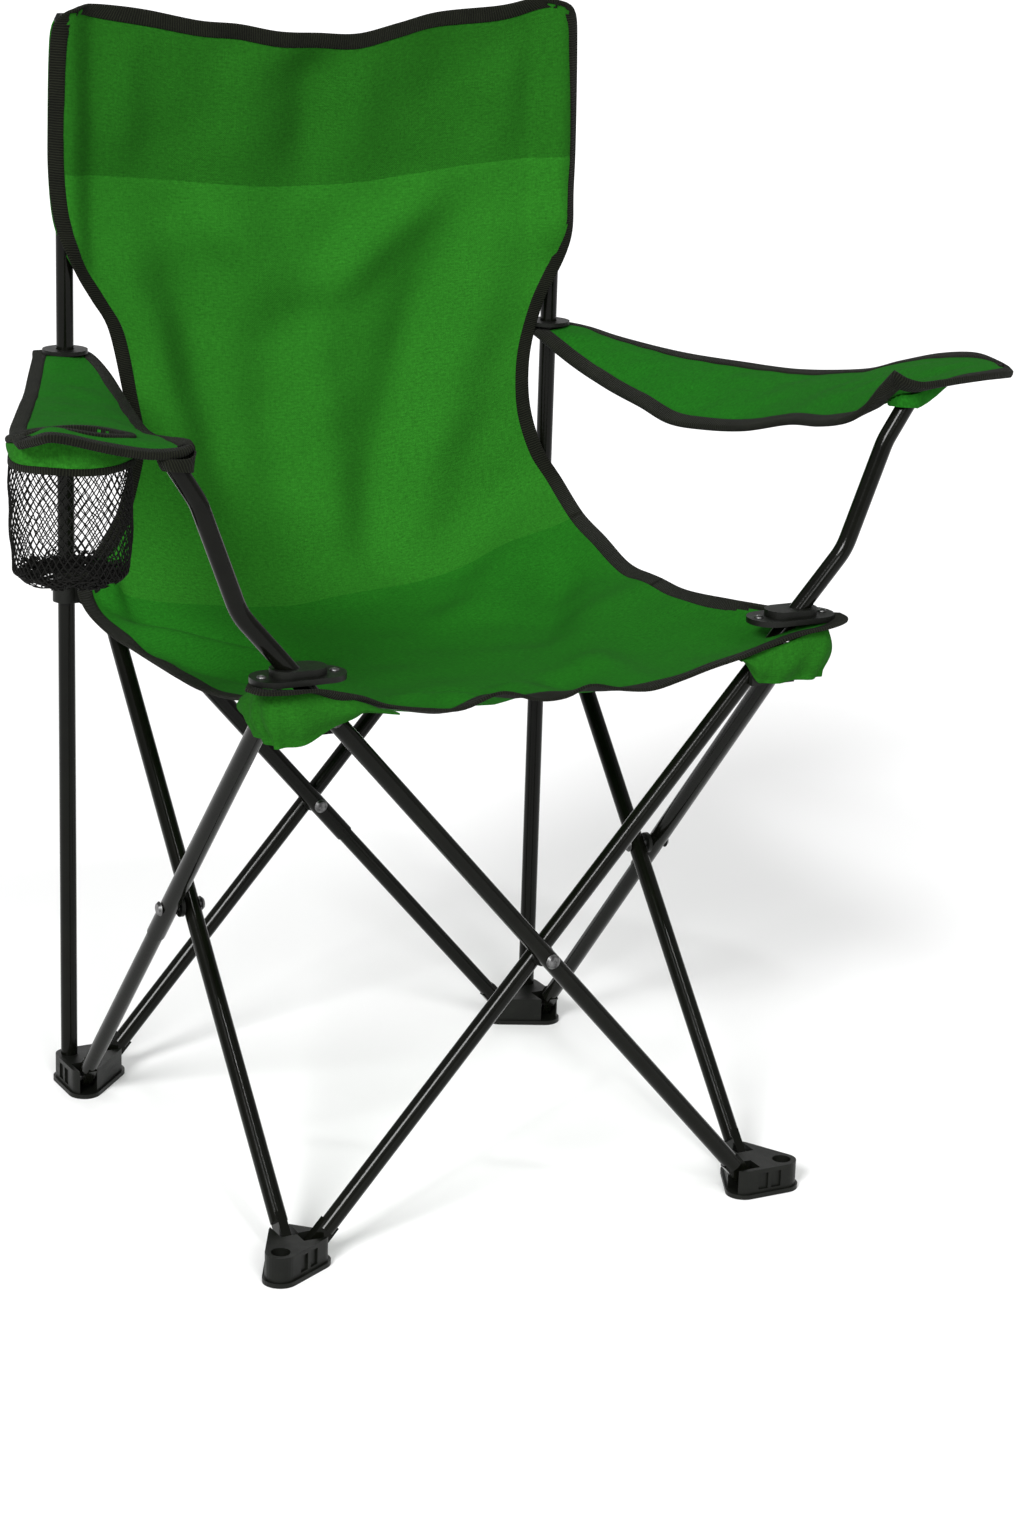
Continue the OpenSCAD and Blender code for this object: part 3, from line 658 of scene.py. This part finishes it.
def make_sling():
    """The whole seat and back as one grid of points, with its cloth coordinates and normals."""
    w = np.linspace(-1, 1, COLUMNS)
    u = 0.72 * w + 0.28 * np.sin(w * math.pi / 2)
    guides = [guide(LEFT_EDGE, EDGE_KEYS, ROWS), guide(LEFT_INNER, INNER_KEYS, ROWS),
              guide(MIDDLE, INNER_KEYS, ROWS), guide(RIGHT_INNER, INNER_KEYS, ROWS),
              guide(RIGHT_EDGE, EDGE_KEYS, ROWS)]
    points = across(guides, GUIDE_AT, u)
    rows = len(points)
    down = np.arange(rows) / (rows - 1)
    share = (u + 1) / 2
    for edge, row, weight in ((TOP_EDGE, 0, 1 - softly(0, 0.16, down)),
                              (FRONT_EDGE, -1, softly(0.80, 1.0, down))):
        line = resample(smooth_path(edge), 400)
        place = np.interp(share, np.linspace(0, 1, 400), np.arange(400))
        wanted = points_at(place, np.arange(400), line)
        points += weight[:, None, None] * (wanted - points[row])[None]
    uv = grid_lengths(points)
    normals = grid_normals(points)
    inside = softly(0, 0.05, 1 - np.abs(w))[None]
    edges = softly(0, 0.03, down)[:, None] * softly(0, 0.012, 1 - down)[:, None]
    ripple = 0.0007 * waves(uv, 0.06, 3) + 0.0010 * waves(uv * [1, 0.4], 0.09, 5)
    points += normals * ((fold_height(uv) + ripple) * inside * edges)[..., None]
    points[..., 1] -= sleeve_bulge(points)
    for side in SIDES:
        low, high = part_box(f"side_tube_inner_{side}")
        x = (low.x + high.x) / 2
        lift_over_tube(points, (x, -PIVOT_AT, FOOT_PIVOT), (x, PIVOT_AT, HUB_PIVOT), TUBE_CLEAR)
    smooth_grid(points, 2)
    return points, uv, grid_normals(points)


def seam(points, normals, row, columns, offset):
    """A line on the front face of the cloth beside a grid row, offset metres further down."""
    line = points[row, columns] + normals[row, columns] * (CLOTH / 2)
    down = unit(points[min(row + 1, len(points) - 1), columns] - points[row - 1, columns])
    return line + down * offset, normals[row, columns]


def upright_seam(points, normals, rows, distance):
    """A line down the cloth at a fixed distance from its left (negative) or right edge."""
    line, up = [], []
    for r in rows:
        at = distances(points[r])
        place = [-distance if distance < 0 else at[-1] - distance]
        line.append(points_at(place, at, points[r]))
        up.append(points_at(place, at, normals[r]))
    up = unit(np.vstack(up))
    return np.vstack(line) + up * (CLOTH / 2), up


def dress(piece, body, joint, anchor_x, keep):
    """Rides a seat or back piece on its body."""
    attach(piece, body)
    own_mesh(piece)
    return piece


BACK_FOLD = dict(body="root", joint="fold", anchor_x=-UPRIGHT_AT, keep=0.425)
REAR_FOLD = dict(body="seat_rear", joint="seat_rear_drop", anchor_x=-0.178, keep=0.338)
FRONT_FOLD = dict(body="seat_front", joint="seat_front_drop", anchor_x=-0.178, keep=0.338)


def make_seat_and_back():
    points, uv, normals = make_sling()
    proud = points.copy()
    proud[:YOKE_END + 1] += normals[:YOKE_END + 1] * YOKE_PROUD
    rear_rows = slice(BACK_END, SEAT_MID + 1)

    for node, rows, finish, fold in (
            ("back_yoke", slice(0, YOKE_END + 1), "cloth_double", BACK_FOLD),
            ("back_panel", slice(YOKE_END, BACK_END + 1), "cloth", BACK_FOLD),
            ("seat_rear", rear_rows, "cloth_seat_painted_shade", REAR_FOLD),
            ("seat_front", slice(SEAT_MID, None), "cloth_seat_painted_shade", FRONT_FOLD)):
        name = node.removesuffix("_panel") + "_cloth"
        piece = dress(cloth_piece(name, proud[rows], MATERIALS[finish], uv=uv[rows]), **fold)
        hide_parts(node)

    def back_line(inset):
        return np.vstack([points[BACK_END:0:-1, inset], points[inset], points[1:BACK_END + 1, -1 - inset]])

    def front_line(inset):
        return np.vstack([points[SEAT_MID:-1, inset], points[-1 - inset],
                          points[-2:SEAT_MID - 1:-1, -1 - inset]])

    for name, rim, inner, fold in (
            ("back_edging", back_line(0), back_line(EDGE_INSET), BACK_FOLD),
            ("seat_rear_edging_left", points[rear_rows, 0], points[rear_rows, EDGE_INSET], REAR_FOLD),
            ("seat_rear_edging_right", points[rear_rows, -1], points[rear_rows, -1 - EDGE_INSET], REAR_FOLD),
            ("seat_front_edging", front_line(0), front_line(EDGE_INSET), FRONT_FOLD)):
        dress(tape_piece(name, rim, inner, points), **fold)

    middle = slice(3, COLUMNS - 3)
    yoke_lines = [seam(proud, normals, YOKE_END, middle, d) for d in (-0.0018, -0.0052)]
    rows = range(4, YOKE_END + 24)
    sleeve_lines = [upright_seam(proud, normals, rows, d) for d in (-0.0275, 0.0275)]
    back_lines = [seam(points, normals, BACK_END, middle, d) for d in (-0.0050, -0.0016)]
    rear_line = [seam(points, normals, BACK_END + 1, middle, 0.0010)]
    back_stitches = stitch_piece("back_stitches", yoke_lines + sleeve_lines + back_lines,
                                 MATERIALS["thread_green"])
    dress(back_stitches, **BACK_FOLD)
    rear_stitches = stitch_piece("seat_rear_stitches", rear_line, MATERIALS["thread_green"])
    dress(rear_stitches, **REAR_FOLD)

    make_sleeve_backs(points)


def make_sleeve_backs(points):
    """The rear layer of each sleeve, which closes it round its upright."""
    turn = np.linspace(0, 1, 14)
    for side, sign in SIDES.items():
        rows = []
        for row in points[3:YOKE_END + 18]:
            row = row if sign < 0 else row[::-1]
            line = points_at(0.0012 + 0.0300 * turn, distances(row), row)
            line[:, 1] += sleeve_bulge(line) + 0.0014 + 0.0108 * np.sin(turn * math.pi) ** 0.6
            rows.append(line[::sign])
        piece = cloth_piece(f"sleeve_back_{side}", rows, MATERIALS["cloth"])
        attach(piece, "root" if sign < 0 else "rear_right")


# ---- armrests ------------------------------------------------------------------------------------

# Outlines of the armrests; front goes from the inner edge's end to the outer edge's end.
ARM = {
    "left": dict(
        inner=[(-.186, .224, .5795), (-.1845, .200, .5785), (-.184, .170, .5705), (-.1915, .122, .5625),
               (-.2065, .062, .5615), (-.2225, .003, .5640), (-.238, -.055, .5710), (-.252, -.110, .5810),
               (-.263, -.155, .5905), (-.2695, -.188, .5965), (-.2735, -.205, .5975)],
        outer=[(-.2225, .224, .5800), (-.2315, .200, .5785), (-.249, .162, .5730), (-.268, .118, .5705),
               (-.2925, .062, .5735), (-.3175, .002, .5790), (-.337, -.045, .5835), (-.352, -.083, .5875),
               (-.3670, -.128, .5940), (-.379, -.165, .6000), (-.3835, -.184, .6015)],
        front=[(-.283, -.2095, .5945), (-.301, -.211, .5945), (-.320, -.211, .5975), (-.340, -.211, .6025),
               (-.358, -.2095, .6075), (-.3705, -.206, .6095), (-.377, -.199, .6065)]),
    "right": dict(
        inner=[(.192, .224, .5790), (.1905, .200, .5775), (.1935, .175, .5690), (.2000, .148, .5590),
               (.2065, .108, .5495), (.2125, .068, .5430), (.2165, .030, .5370), (.2255, -.005, .5385),
               (.2400, -.042, .5435), (.2490, -.090, .5570), (.2545, -.122, .5615), (.2600, -.148, .5685),
               (.2625, -.170, .5815), (.2615, -.188, .5980), (.2630, -.203, .6130)],
        outer=[(.224, .224, .5795), (.236, .195, .5785), (.246, .165, .5755), (.262, .125, .5725),
               (.280, .088, .5710), (.299, .053, .5710), (.322, .012, .5715), (.347, -.040, .5795),
               (.362, -.066, .5895), (.3735, -.100, .6005), (.3795, -.135, .6070), (.3815, -.160, .6055),
               (.3815, -.175, .6035)],
        front=[(.270, -.2085, .6080), (.283, -.2105, .6045), (.300, -.2105, .6050), (.320, -.2095, .6060),
               (.342, -.2070, .6065), (.362, -.1990, .6050), (.375, -.1885, .6030)]),
}
POCKET_EAR = {"left": 0.004, "right": 0.030}
# The right pocket takes the armrest's darker copy of the cloth, with its painted shade.
POCKET_FINISH = {"left": "tape", "right": "cloth_arm_painted_shade"}
POCKET_HEM = {"left": 0.0088, "right": 0.0110}
ARM_ROWS = 110
ARM_COLUMNS = 41
CUP_HOLE_R = CUP_R - 0.0035
CUP_STEPS = 72                # points round the cup hole and the band below it
UPRIGHT_HOLE_R = 0.0105
ARM_TAPE_THICK = 0.0052


def arm_grid(side):
    """Top surface of an armrest, rows from the upright to the front, columns from inner to outer edge."""
    shape = ARM[side]
    inner, outer = curve(shape["inner"], ARM_ROWS), curve(shape["outer"], ARM_ROWS)
    front = curve([shape["inner"][-1], *shape["front"], shape["outer"][-1]], ARM_COLUMNS)
    s = np.linspace(0, 1, ARM_COLUMNS)
    points = inner[:, None] * (1 - s)[None, :, None] + outer[:, None] * s[None, :, None]
    down = np.linspace(0, 1, ARM_ROWS)
    points += (softly(0.80, 1.0, down)[:, None, None] * (front - points[-1])[None])
    middle = 4 * s * (1 - s)
    ends = softly(0, 0.12, down) * (1 - softly(0.94, 1.0, down))
    points[..., 2] += 0.006 * middle[None] * ends[:, None]
    uv = grid_lengths(points)
    soft = middle[None] * ends[:, None]
    seed = 11 if side == "left" else 12
    points[..., 2] += soft * (0.0012 * waves(uv, 0.07, seed) + 0.0006 * waves(uv, 0.03, seed + 2))
    return points, uv


def cut_round_hole(piece, centre, radius):
    """Opens a round hole in a flat-lying grid piece, seen from above, with a clean rim."""
    mesh = piece.data
    flat = np.array([v.co for v in mesh.vertices])
    offset = flat[:, :2] - centre
    away = np.linalg.norm(offset, axis=1)
    near = np.abs(away - radius) < 0.0024
    snapped = centre + offset * (radius / np.maximum(away, 1e-9))[:, None]
    flat[near, :2] = snapped[near]
    mesh.vertices.foreach_set("co", flat.astype(np.float32).ravel())
    away[near] = radius
    work = bmesh.new()
    work.from_mesh(mesh)
    gone = [f for f in work.faces if all(away[v.index] <= radius + 1e-6 for v in f.verts)]
    bmesh.ops.delete(work, geom=gone, context="FACES")
    work.to_mesh(mesh)
    work.free()


def fold_with_arm(piece, side):
    """Rides a piece on its armrest."""
    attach(piece, f"arm_{side}")
    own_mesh(piece)
    return piece


def heights_on(points, xs, ys):
    """Heights of a surface grid at some places, each from its nearest point."""
    flat = points.reshape(-1, 3)
    return np.array([flat[((flat[:, 0] - x) ** 2 + (flat[:, 1] - y) ** 2).argmin(), 2]
                     for x, y in zip(xs, ys)])


def make_armrest(side):
    points, uv = arm_grid(side)
    sign = SIDES[side]
    piece = cloth_piece(f"armrest_{side}_cloth", points, MATERIALS["cloth_arm_painted_shade"], ARM_CLOTH, uv=uv)
    upright = np.array([sign * UPRIGHT_AT, UPRIGHT_AT])
    cut_round_hole(piece, upright, UPRIGHT_HOLE_R)
    if side == "left":
        cut_round_hole(piece, np.array([CUP_X, CUP_Y]), CUP_HOLE_R)
    fold_with_arm(piece, side)
    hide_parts(f"armrest_{side}")

    def rim_line(inset):
        return np.vstack([points[:-1, inset], points[-1 - inset], points[-2::-1, -1 - inset],
                          points[inset, -2:0:-1]])

    edging = tape_piece(f"armrest_{side}_edging", rim_line(0), rim_line(EDGE_INSET), points, closed=True,
                        thick=ARM_TAPE_THICK)
    fold_with_arm(edging, side)
    if side == "left":
        turn, radius = full_turn(CUP_STEPS), CUP_HOLE_R - 0.0005
        x, y = CUP_X + radius * np.cos(turn), CUP_Y + radius * np.sin(turn)
        z = heights_on(points, x, y)
        z = np.convolve(np.r_[z[-4:], z, z[:4]], np.ones(9) / 9, "valid")
        hole = np.stack([x, y, z], 1)
        outside = hole + np.stack([np.cos(turn), np.sin(turn), 0 * turn], 1)
        rim = tape_piece("cup_rim_edging", hole, outside, closed=True, width=0.0060, thick=0.0042)
        fold_with_arm(rim, side)
    make_post_pocket(side, points)
    return points


def make_post_pocket(side, arm):
    """Sleeve under the armrest that takes the top of the post, with a flat ear beside it."""
    low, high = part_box(f"post_cap_{side}")
    x, y = (low.x + high.x) / 2, (low.y + high.y) / 2
    turn = full_turn(40)
    ear = POCKET_EAR[side]
    toward = np.maximum(SIDES[side] * np.cos(turn), 0) ** 2
    rows = []
    for t in np.linspace(0, 1, 14):
        wide = 0.0098 + 0.0015 * (1 - t)
        pleat = 1 + 0.05 * np.sin(turn * 5 + 1.0) * math.sin(math.pi * t)
        px = x + wide * pleat * np.cos(turn) + SIDES[side] * ear * (1 - t) ** 0.8 * toward
        py = y + wide * pleat * np.sin(turn) * (1 - 0.75 * toward * (1 - t))
        top = heights_on(arm, px, py) - 0.0022
        bottom = low.z + POCKET_HEM[side] - 0.0015 * np.sin(turn + 0.8)
        rows.append(np.stack([px, py, top * (1 - t) + np.minimum(bottom, top) * t], -1))
    finish = MATERIALS[POCKET_FINISH[side]]
    piece = cloth_piece(f"post_pocket_{side}", rows, finish, BAND_CLOTH, around=True)
    fold_with_arm(piece, side)


# ---- cup pocket ----------------------------------------------------------------------------------

NET_TOP = CUP_HIGH.z - 0.011
NET_CELLS = 46
NET_TURNS = 13.0              # cells that a strand crosses on its way down
CORD_R = 0.00042
TANGLES = 420                 # loose loops of cord in the gathered bottom


def net_profile(t):
    """Radius and height of the net pocket, t from its top rim (0) to the middle of its bottom (1)."""
    wall = np.clip(t / 0.72, 0, 1)
    under = np.clip((t - 0.72) / 0.28, 0, 1)
    radius = CUP_R - 0.0012 - 0.0015 * wall**2 + 0.0012 * np.sin(wall * math.pi)
    radius = radius * np.cos(under * math.pi / 2) ** 0.55
    height = NET_TOP - (NET_TOP - CUP_FLOOR - 0.010) * wall - 0.0085 * np.sin(under * math.pi / 2)
    return radius, height


def round_section(radius, sides=5):
    turn = full_turn(sides)
    return np.stack([np.cos(turn), np.sin(turn)], 1) * radius


def keep_within(line, radius):
    """Pulls the points of a line in to at most this far from the cup's axis."""
    centre = [CUP_X, CUP_Y]
    away = line[:, :2] - centre
    far = np.linalg.norm(away, axis=1)
    line[:, :2] = centre + away * np.minimum(1, radius / np.maximum(far, 1e-6))[:, None]


def make_net():
    """Crossing strands down the wall, and a gathered tangle of cord at the bottom."""
    chance = np.random.default_rng(7)
    paths = []
    t = np.linspace(0, 0.93, 44)
    radius, height = net_profile(t)
    for cell in range(NET_CELLS):
        for way in (-1, 1):
            turn = 2 * math.pi * (cell + way * NET_TURNS * t) / NET_CELLS
            out = np.stack([np.cos(turn), np.sin(turn), np.zeros_like(turn)], 1)
            line = out * radius[:, None] + np.stack([CUP_X + 0 * turn, CUP_Y + 0 * turn, height], 1)
            line += 0.0011 * waves(line, 0.03, 21)[:, None] * [0.6, 0.6, 1.0]
            paths.append((line + out * way * 0.00025, out))
    for _ in range(TANGLES):
        turn = chance.uniform(0, 2 * math.pi)
        reach = CUP_R * math.sqrt(chance.uniform(0.25, 0.80))
        start = [CUP_X + reach * math.cos(turn), CUP_Y + reach * math.sin(turn), 0]
        steps = chance.normal(0, 0.0032, (7, 3)) * [1, 1, 0.45]
        line = np.cumsum(np.vstack([start, steps]), 0)
        keep_within(line, CUP_R - 0.003)
        edge = (np.linalg.norm(line[:, :2] - [CUP_X, CUP_Y], axis=1) / CUP_R) ** 3
        line[:, 2] += CUP_FLOOR + 0.0030 + 0.008 * edge * chance.uniform(0.3, 1.0)
        line = curve(line, 14)
        under = 1 - np.clip((line[:, 2] - CUP_FLOOR) / 0.010, 0, 1)
        keep_within(line, CUP_R - 0.0024 - 0.009 * under**2)
        line[:, 2] = np.clip(line[:, 2], CUP_FLOOR + 0.0006, CUP_FLOOR + 0.0145)
        paths.append((line, np.tile([0.1, 0.2, 1.0], (len(line), 1))))
    verts, faces, uv = sweep(paths, round_section(CORD_R))
    net = mesh_piece("cup_pocket_net", verts, faces, MATERIALS["net"], uv)
    fold_with_arm(net, "left")
    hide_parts("cup_net")


def make_cup_band(arm):
    """Green band between the armrest and the net, with a black hem where the net is sewn on."""
    turn = full_turn(CUP_STEPS)
    rows = []
    for t in np.linspace(0, 1, 9):
        radius = CUP_R + 0.0005 - 0.0008 * t + 0.0006 * np.sin(7 * turn + 4 * t)
        px, py = CUP_X + radius * np.cos(turn), CUP_Y + radius * np.sin(turn)
        top = heights_on(arm, px, py) - 0.0018
        bottom = NET_TOP + 0.0004 * np.sin(5 * turn)
        rows.append(np.stack([px, py, top * (1 - t) + bottom * t], -1))
    band = cloth_piece("cup_pocket_band", rows, MATERIALS["cloth"], BAND_CLOTH, around=True)
    fold_with_arm(band, "left")
    hem = tape_piece("cup_pocket_hem", rows[-1] - [0, 0, 0.0030], rows[-1], closed=True, width=0.0045,
                     thick=0.0030)
    fold_with_arm(hem, "left")


# ---- seat corners --------------------------------------------------------------------------------

CORNERS = {
    "left": dict(inner_x=-.126, wall_y=-.2175, wall_x=-.2195, low=.3925, reach=0.55, top=.4315,
                 flat=(.150, .030)),
    "right": dict(inner_x=.150, wall_y=-.2085, wall_x=.2205, low=.3960, reach=0.14, top=.4330,
                  flat=(.135, .027)),
}


def make_corner_pocket(side):
    """Gathered green pouch that hangs round the bracket under a front seat corner."""
    sign, c = SIDES[side], CORNERS[side]
    plan = [(c["inner_x"], c["wall_y"] + 0.010), (c["inner_x"] + sign * 0.030, c["wall_y"] + 0.001),
            (sign * 0.195, c["wall_y"]), (sign * 0.2140, c["wall_y"] + 0.002),
            (c["wall_x"], c["wall_y"] + 0.0085), (c["wall_x"], -0.185), (c["wall_x"] - sign * 0.002, -0.158)]
    line = curve([(x, y, 0) for x, y in plan], 72)
    at = np.linspace(0, 1, 72)
    front = smooth_path(FRONT_EDGE)
    beside = smooth_path(LEFT_EDGE if sign < 0 else RIGHT_EDGE)[::-1]
    rim = np.minimum(np.interp(line[:, 0], front[:, 0], front[:, 2]),
                     np.interp(line[:, 1], beside[:, 1], beside[:, 2]))
    top = np.minimum(c["top"], rim - 0.0035)
    hang = softly(0, c["reach"], at) * (1 - 0.3 * softly(0.86, 1.0, at))
    low = top - 0.0015 - (top - c["low"]) * hang
    out = unit(np.cross(np.gradient(line, axis=0), [0, 0, sign * 1.0]))
    rows = []
    for t in np.linspace(0, 1, 22):
        height = top * (1 - t) + low * t
        belly = 0.0040 * math.sin(math.pi * min(t * 1.15, 1)) - 0.0035 * t**4
        pleats = 0.0022 * np.sin(at * 40 + 3.0 * t + 2 * np.sin(at * 9)) * t * softly(0.05, 0.3, at)
        sway = 0.0012 * waves(np.stack([line[:, 0], line[:, 1], height], 1), 0.03, 31)
        shift = belly + pleats + sway * t
        rows.append(np.stack([line[:, 0] + out[:, 0] * shift, line[:, 1] + out[:, 1] * shift, height], -1))
    piece = cloth_piece(f"corner_pocket_{side}_cloth", rows, MATERIALS["cloth_double"], 0.0010)
    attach(piece, f"front_{side}_corner")
    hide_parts(f"corner_pocket_{side}")


def make_hub_strap(side):
    """Short webbing strap that ties a rear seat corner to its hub."""
    if side == "left":
        line = [(-.197, .1815, .430), (-.2025, .1865, .4285), (-.2055, .1925, .422), (-.2055, .1930, .408)]
    else:
        line = [(.2010, .1870, .461), (.2050, .1905, .453), (.2055, .1930, .440), (.2055, .1930, .408)]
    path = curve(line, 26)
    wide = np.array([(-.5, 0), (-.45, -.5), (.45, -.5), (.5, 0), (.45, .5), (-.45, .5)])
    base = wide * [0.012, 0.0018]
    across_strap = np.tile([1.0, 0.0, 0.0], (len(path), 1))
    verts, faces, uv = sweep([(path, across_strap)], base)
    piece = mesh_piece(f"hub_strap_{side}", verts, faces, MATERIALS["tape"], uv)
    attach(piece, f"rear_{side}_hub")


RIVET_HEAD = [(0.0034, -0.0004), (0.0034, 0.0003), (0.0030, 0.0010), (0.0019, 0.0016), (0.0006, 0.0018)]
RIVET_SIDES = 20
RIVET_STEP = 0.0265           # from the middle of the plate to a rivet


def make_plate_rivets(side):
    """Two small rivet heads on the seat corner plate, beside its collar."""
    low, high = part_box(f"corner_plate_{side}")
    middle = (low + high) / 2
    verts, faces, start = [], [], 0
    turn = full_turn(RIVET_SIDES)
    size = len(RIVET_HEAD) * RIVET_SIDES
    for step in (-RIVET_STEP, RIVET_STEP):
        for r, z in RIVET_HEAD:
            verts += [(middle.x + step + r * math.cos(a), middle.y + r * math.sin(a), low.z + 0.004 + z)
                      for a in turn]
        faces += grid_faces(len(RIVET_HEAD), RIVET_SIDES, around=True, start=start).tolist()
        faces += [list(range(start, start + RIVET_SIDES))[::-1],
                  list(range(start + size - RIVET_SIDES, start + size))]
        start += size
    piece = mesh_piece(f"plate_rivets_{side}", verts, faces, MATERIALS["rivet"])
    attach(piece, "front_outer" if side == "left" else "front_inner")


# ---- light, floor, camera ------------------------------------------------------------------------

def sun(name, azimuth, elevation, power, softness):
    """Far soft light. azimuth and elevation are where it stands, as seen from the chair."""
    lamp = bpy.data.lights.new(name, "SUN")
    lamp.energy = power
    lamp.angle = math.radians(softness)
    az, el = math.radians(azimuth), math.radians(elevation)
    toward = Vector((math.sin(az) * math.cos(el), -math.cos(az) * math.cos(el), math.sin(el)))
    holder = bpy.data.objects.new(name, lamp)
    holder.rotation_euler = toward.to_track_quat("Z", "Y").to_euler()
    bpy.context.scene.collection.objects.link(holder)


def make_studio():
    world = bpy.data.worlds.new("studio")
    bpy.context.scene.world = world
    world.use_nodes = True
    world.node_tree.nodes["Background"].inputs["Color"].default_value = (1, 1, 1, 1)
    world.node_tree.nodes["Background"].inputs["Strength"].default_value = 0.47
    sun("key", -52, 32, 3.3, 18)
    sun("fill", -4, 30, 1.55, 24)
    sun("glint", -12, 58, 0.30, 3)
    sun("behind", 165, 40, 0.5, 25)
    size = 30
    floor = mesh_piece("floor", [(-size, -size, 0), (size, -size, 0), (size, size, 0), (-size, size, 0)],
                       [(0, 1, 2, 3)], pale_floor(), smooth=False)


CAMERA_AT = (-1.143, -2.275, 1.069)
AZIMUTH, ELEVATION, ROLL = map(math.radians, (-28.17, 16.91, 1.83))
FOCAL_SHARE = 3554 / 1536               # focal length as a share of the picture's height
SENSOR = 36


def make_camera():
    forward = np.array([-math.sin(AZIMUTH) * math.cos(ELEVATION),
                        math.cos(AZIMUTH) * math.cos(ELEVATION), -math.sin(ELEVATION)])
    level = np.array([math.cos(AZIMUTH), math.sin(AZIMUTH), 0])
    above = np.cross(level, forward)
    right = math.cos(ROLL) * level + math.sin(ROLL) * above
    up = -math.sin(ROLL) * level + math.cos(ROLL) * above
    camera = bpy.data.objects.new("camera", bpy.data.cameras.new("camera"))
    camera.data.sensor_width = SENSOR
    camera.data.lens = SENSOR * FOCAL_SHARE
    camera.matrix_world = Matrix([[*row, place] for row, place in
                                  zip(np.stack([right, up, -forward], 1), CAMERA_AT)] + [[0, 0, 0, 1]])
    bpy.context.scene.collection.objects.link(camera)
    bpy.context.scene.camera = camera


make_camera()
make_studio()
bpy.context.scene.view_settings.view_transform = "Standard"
finish_cad_nodes()
make_seat_and_back()
left_arm = make_armrest("left")
make_armrest("right")
make_net()
make_cup_band(left_arm)
for corner in SIDES:
    make_corner_pocket(corner)
    make_hub_strap(corner)
    make_plate_rivets(corner)
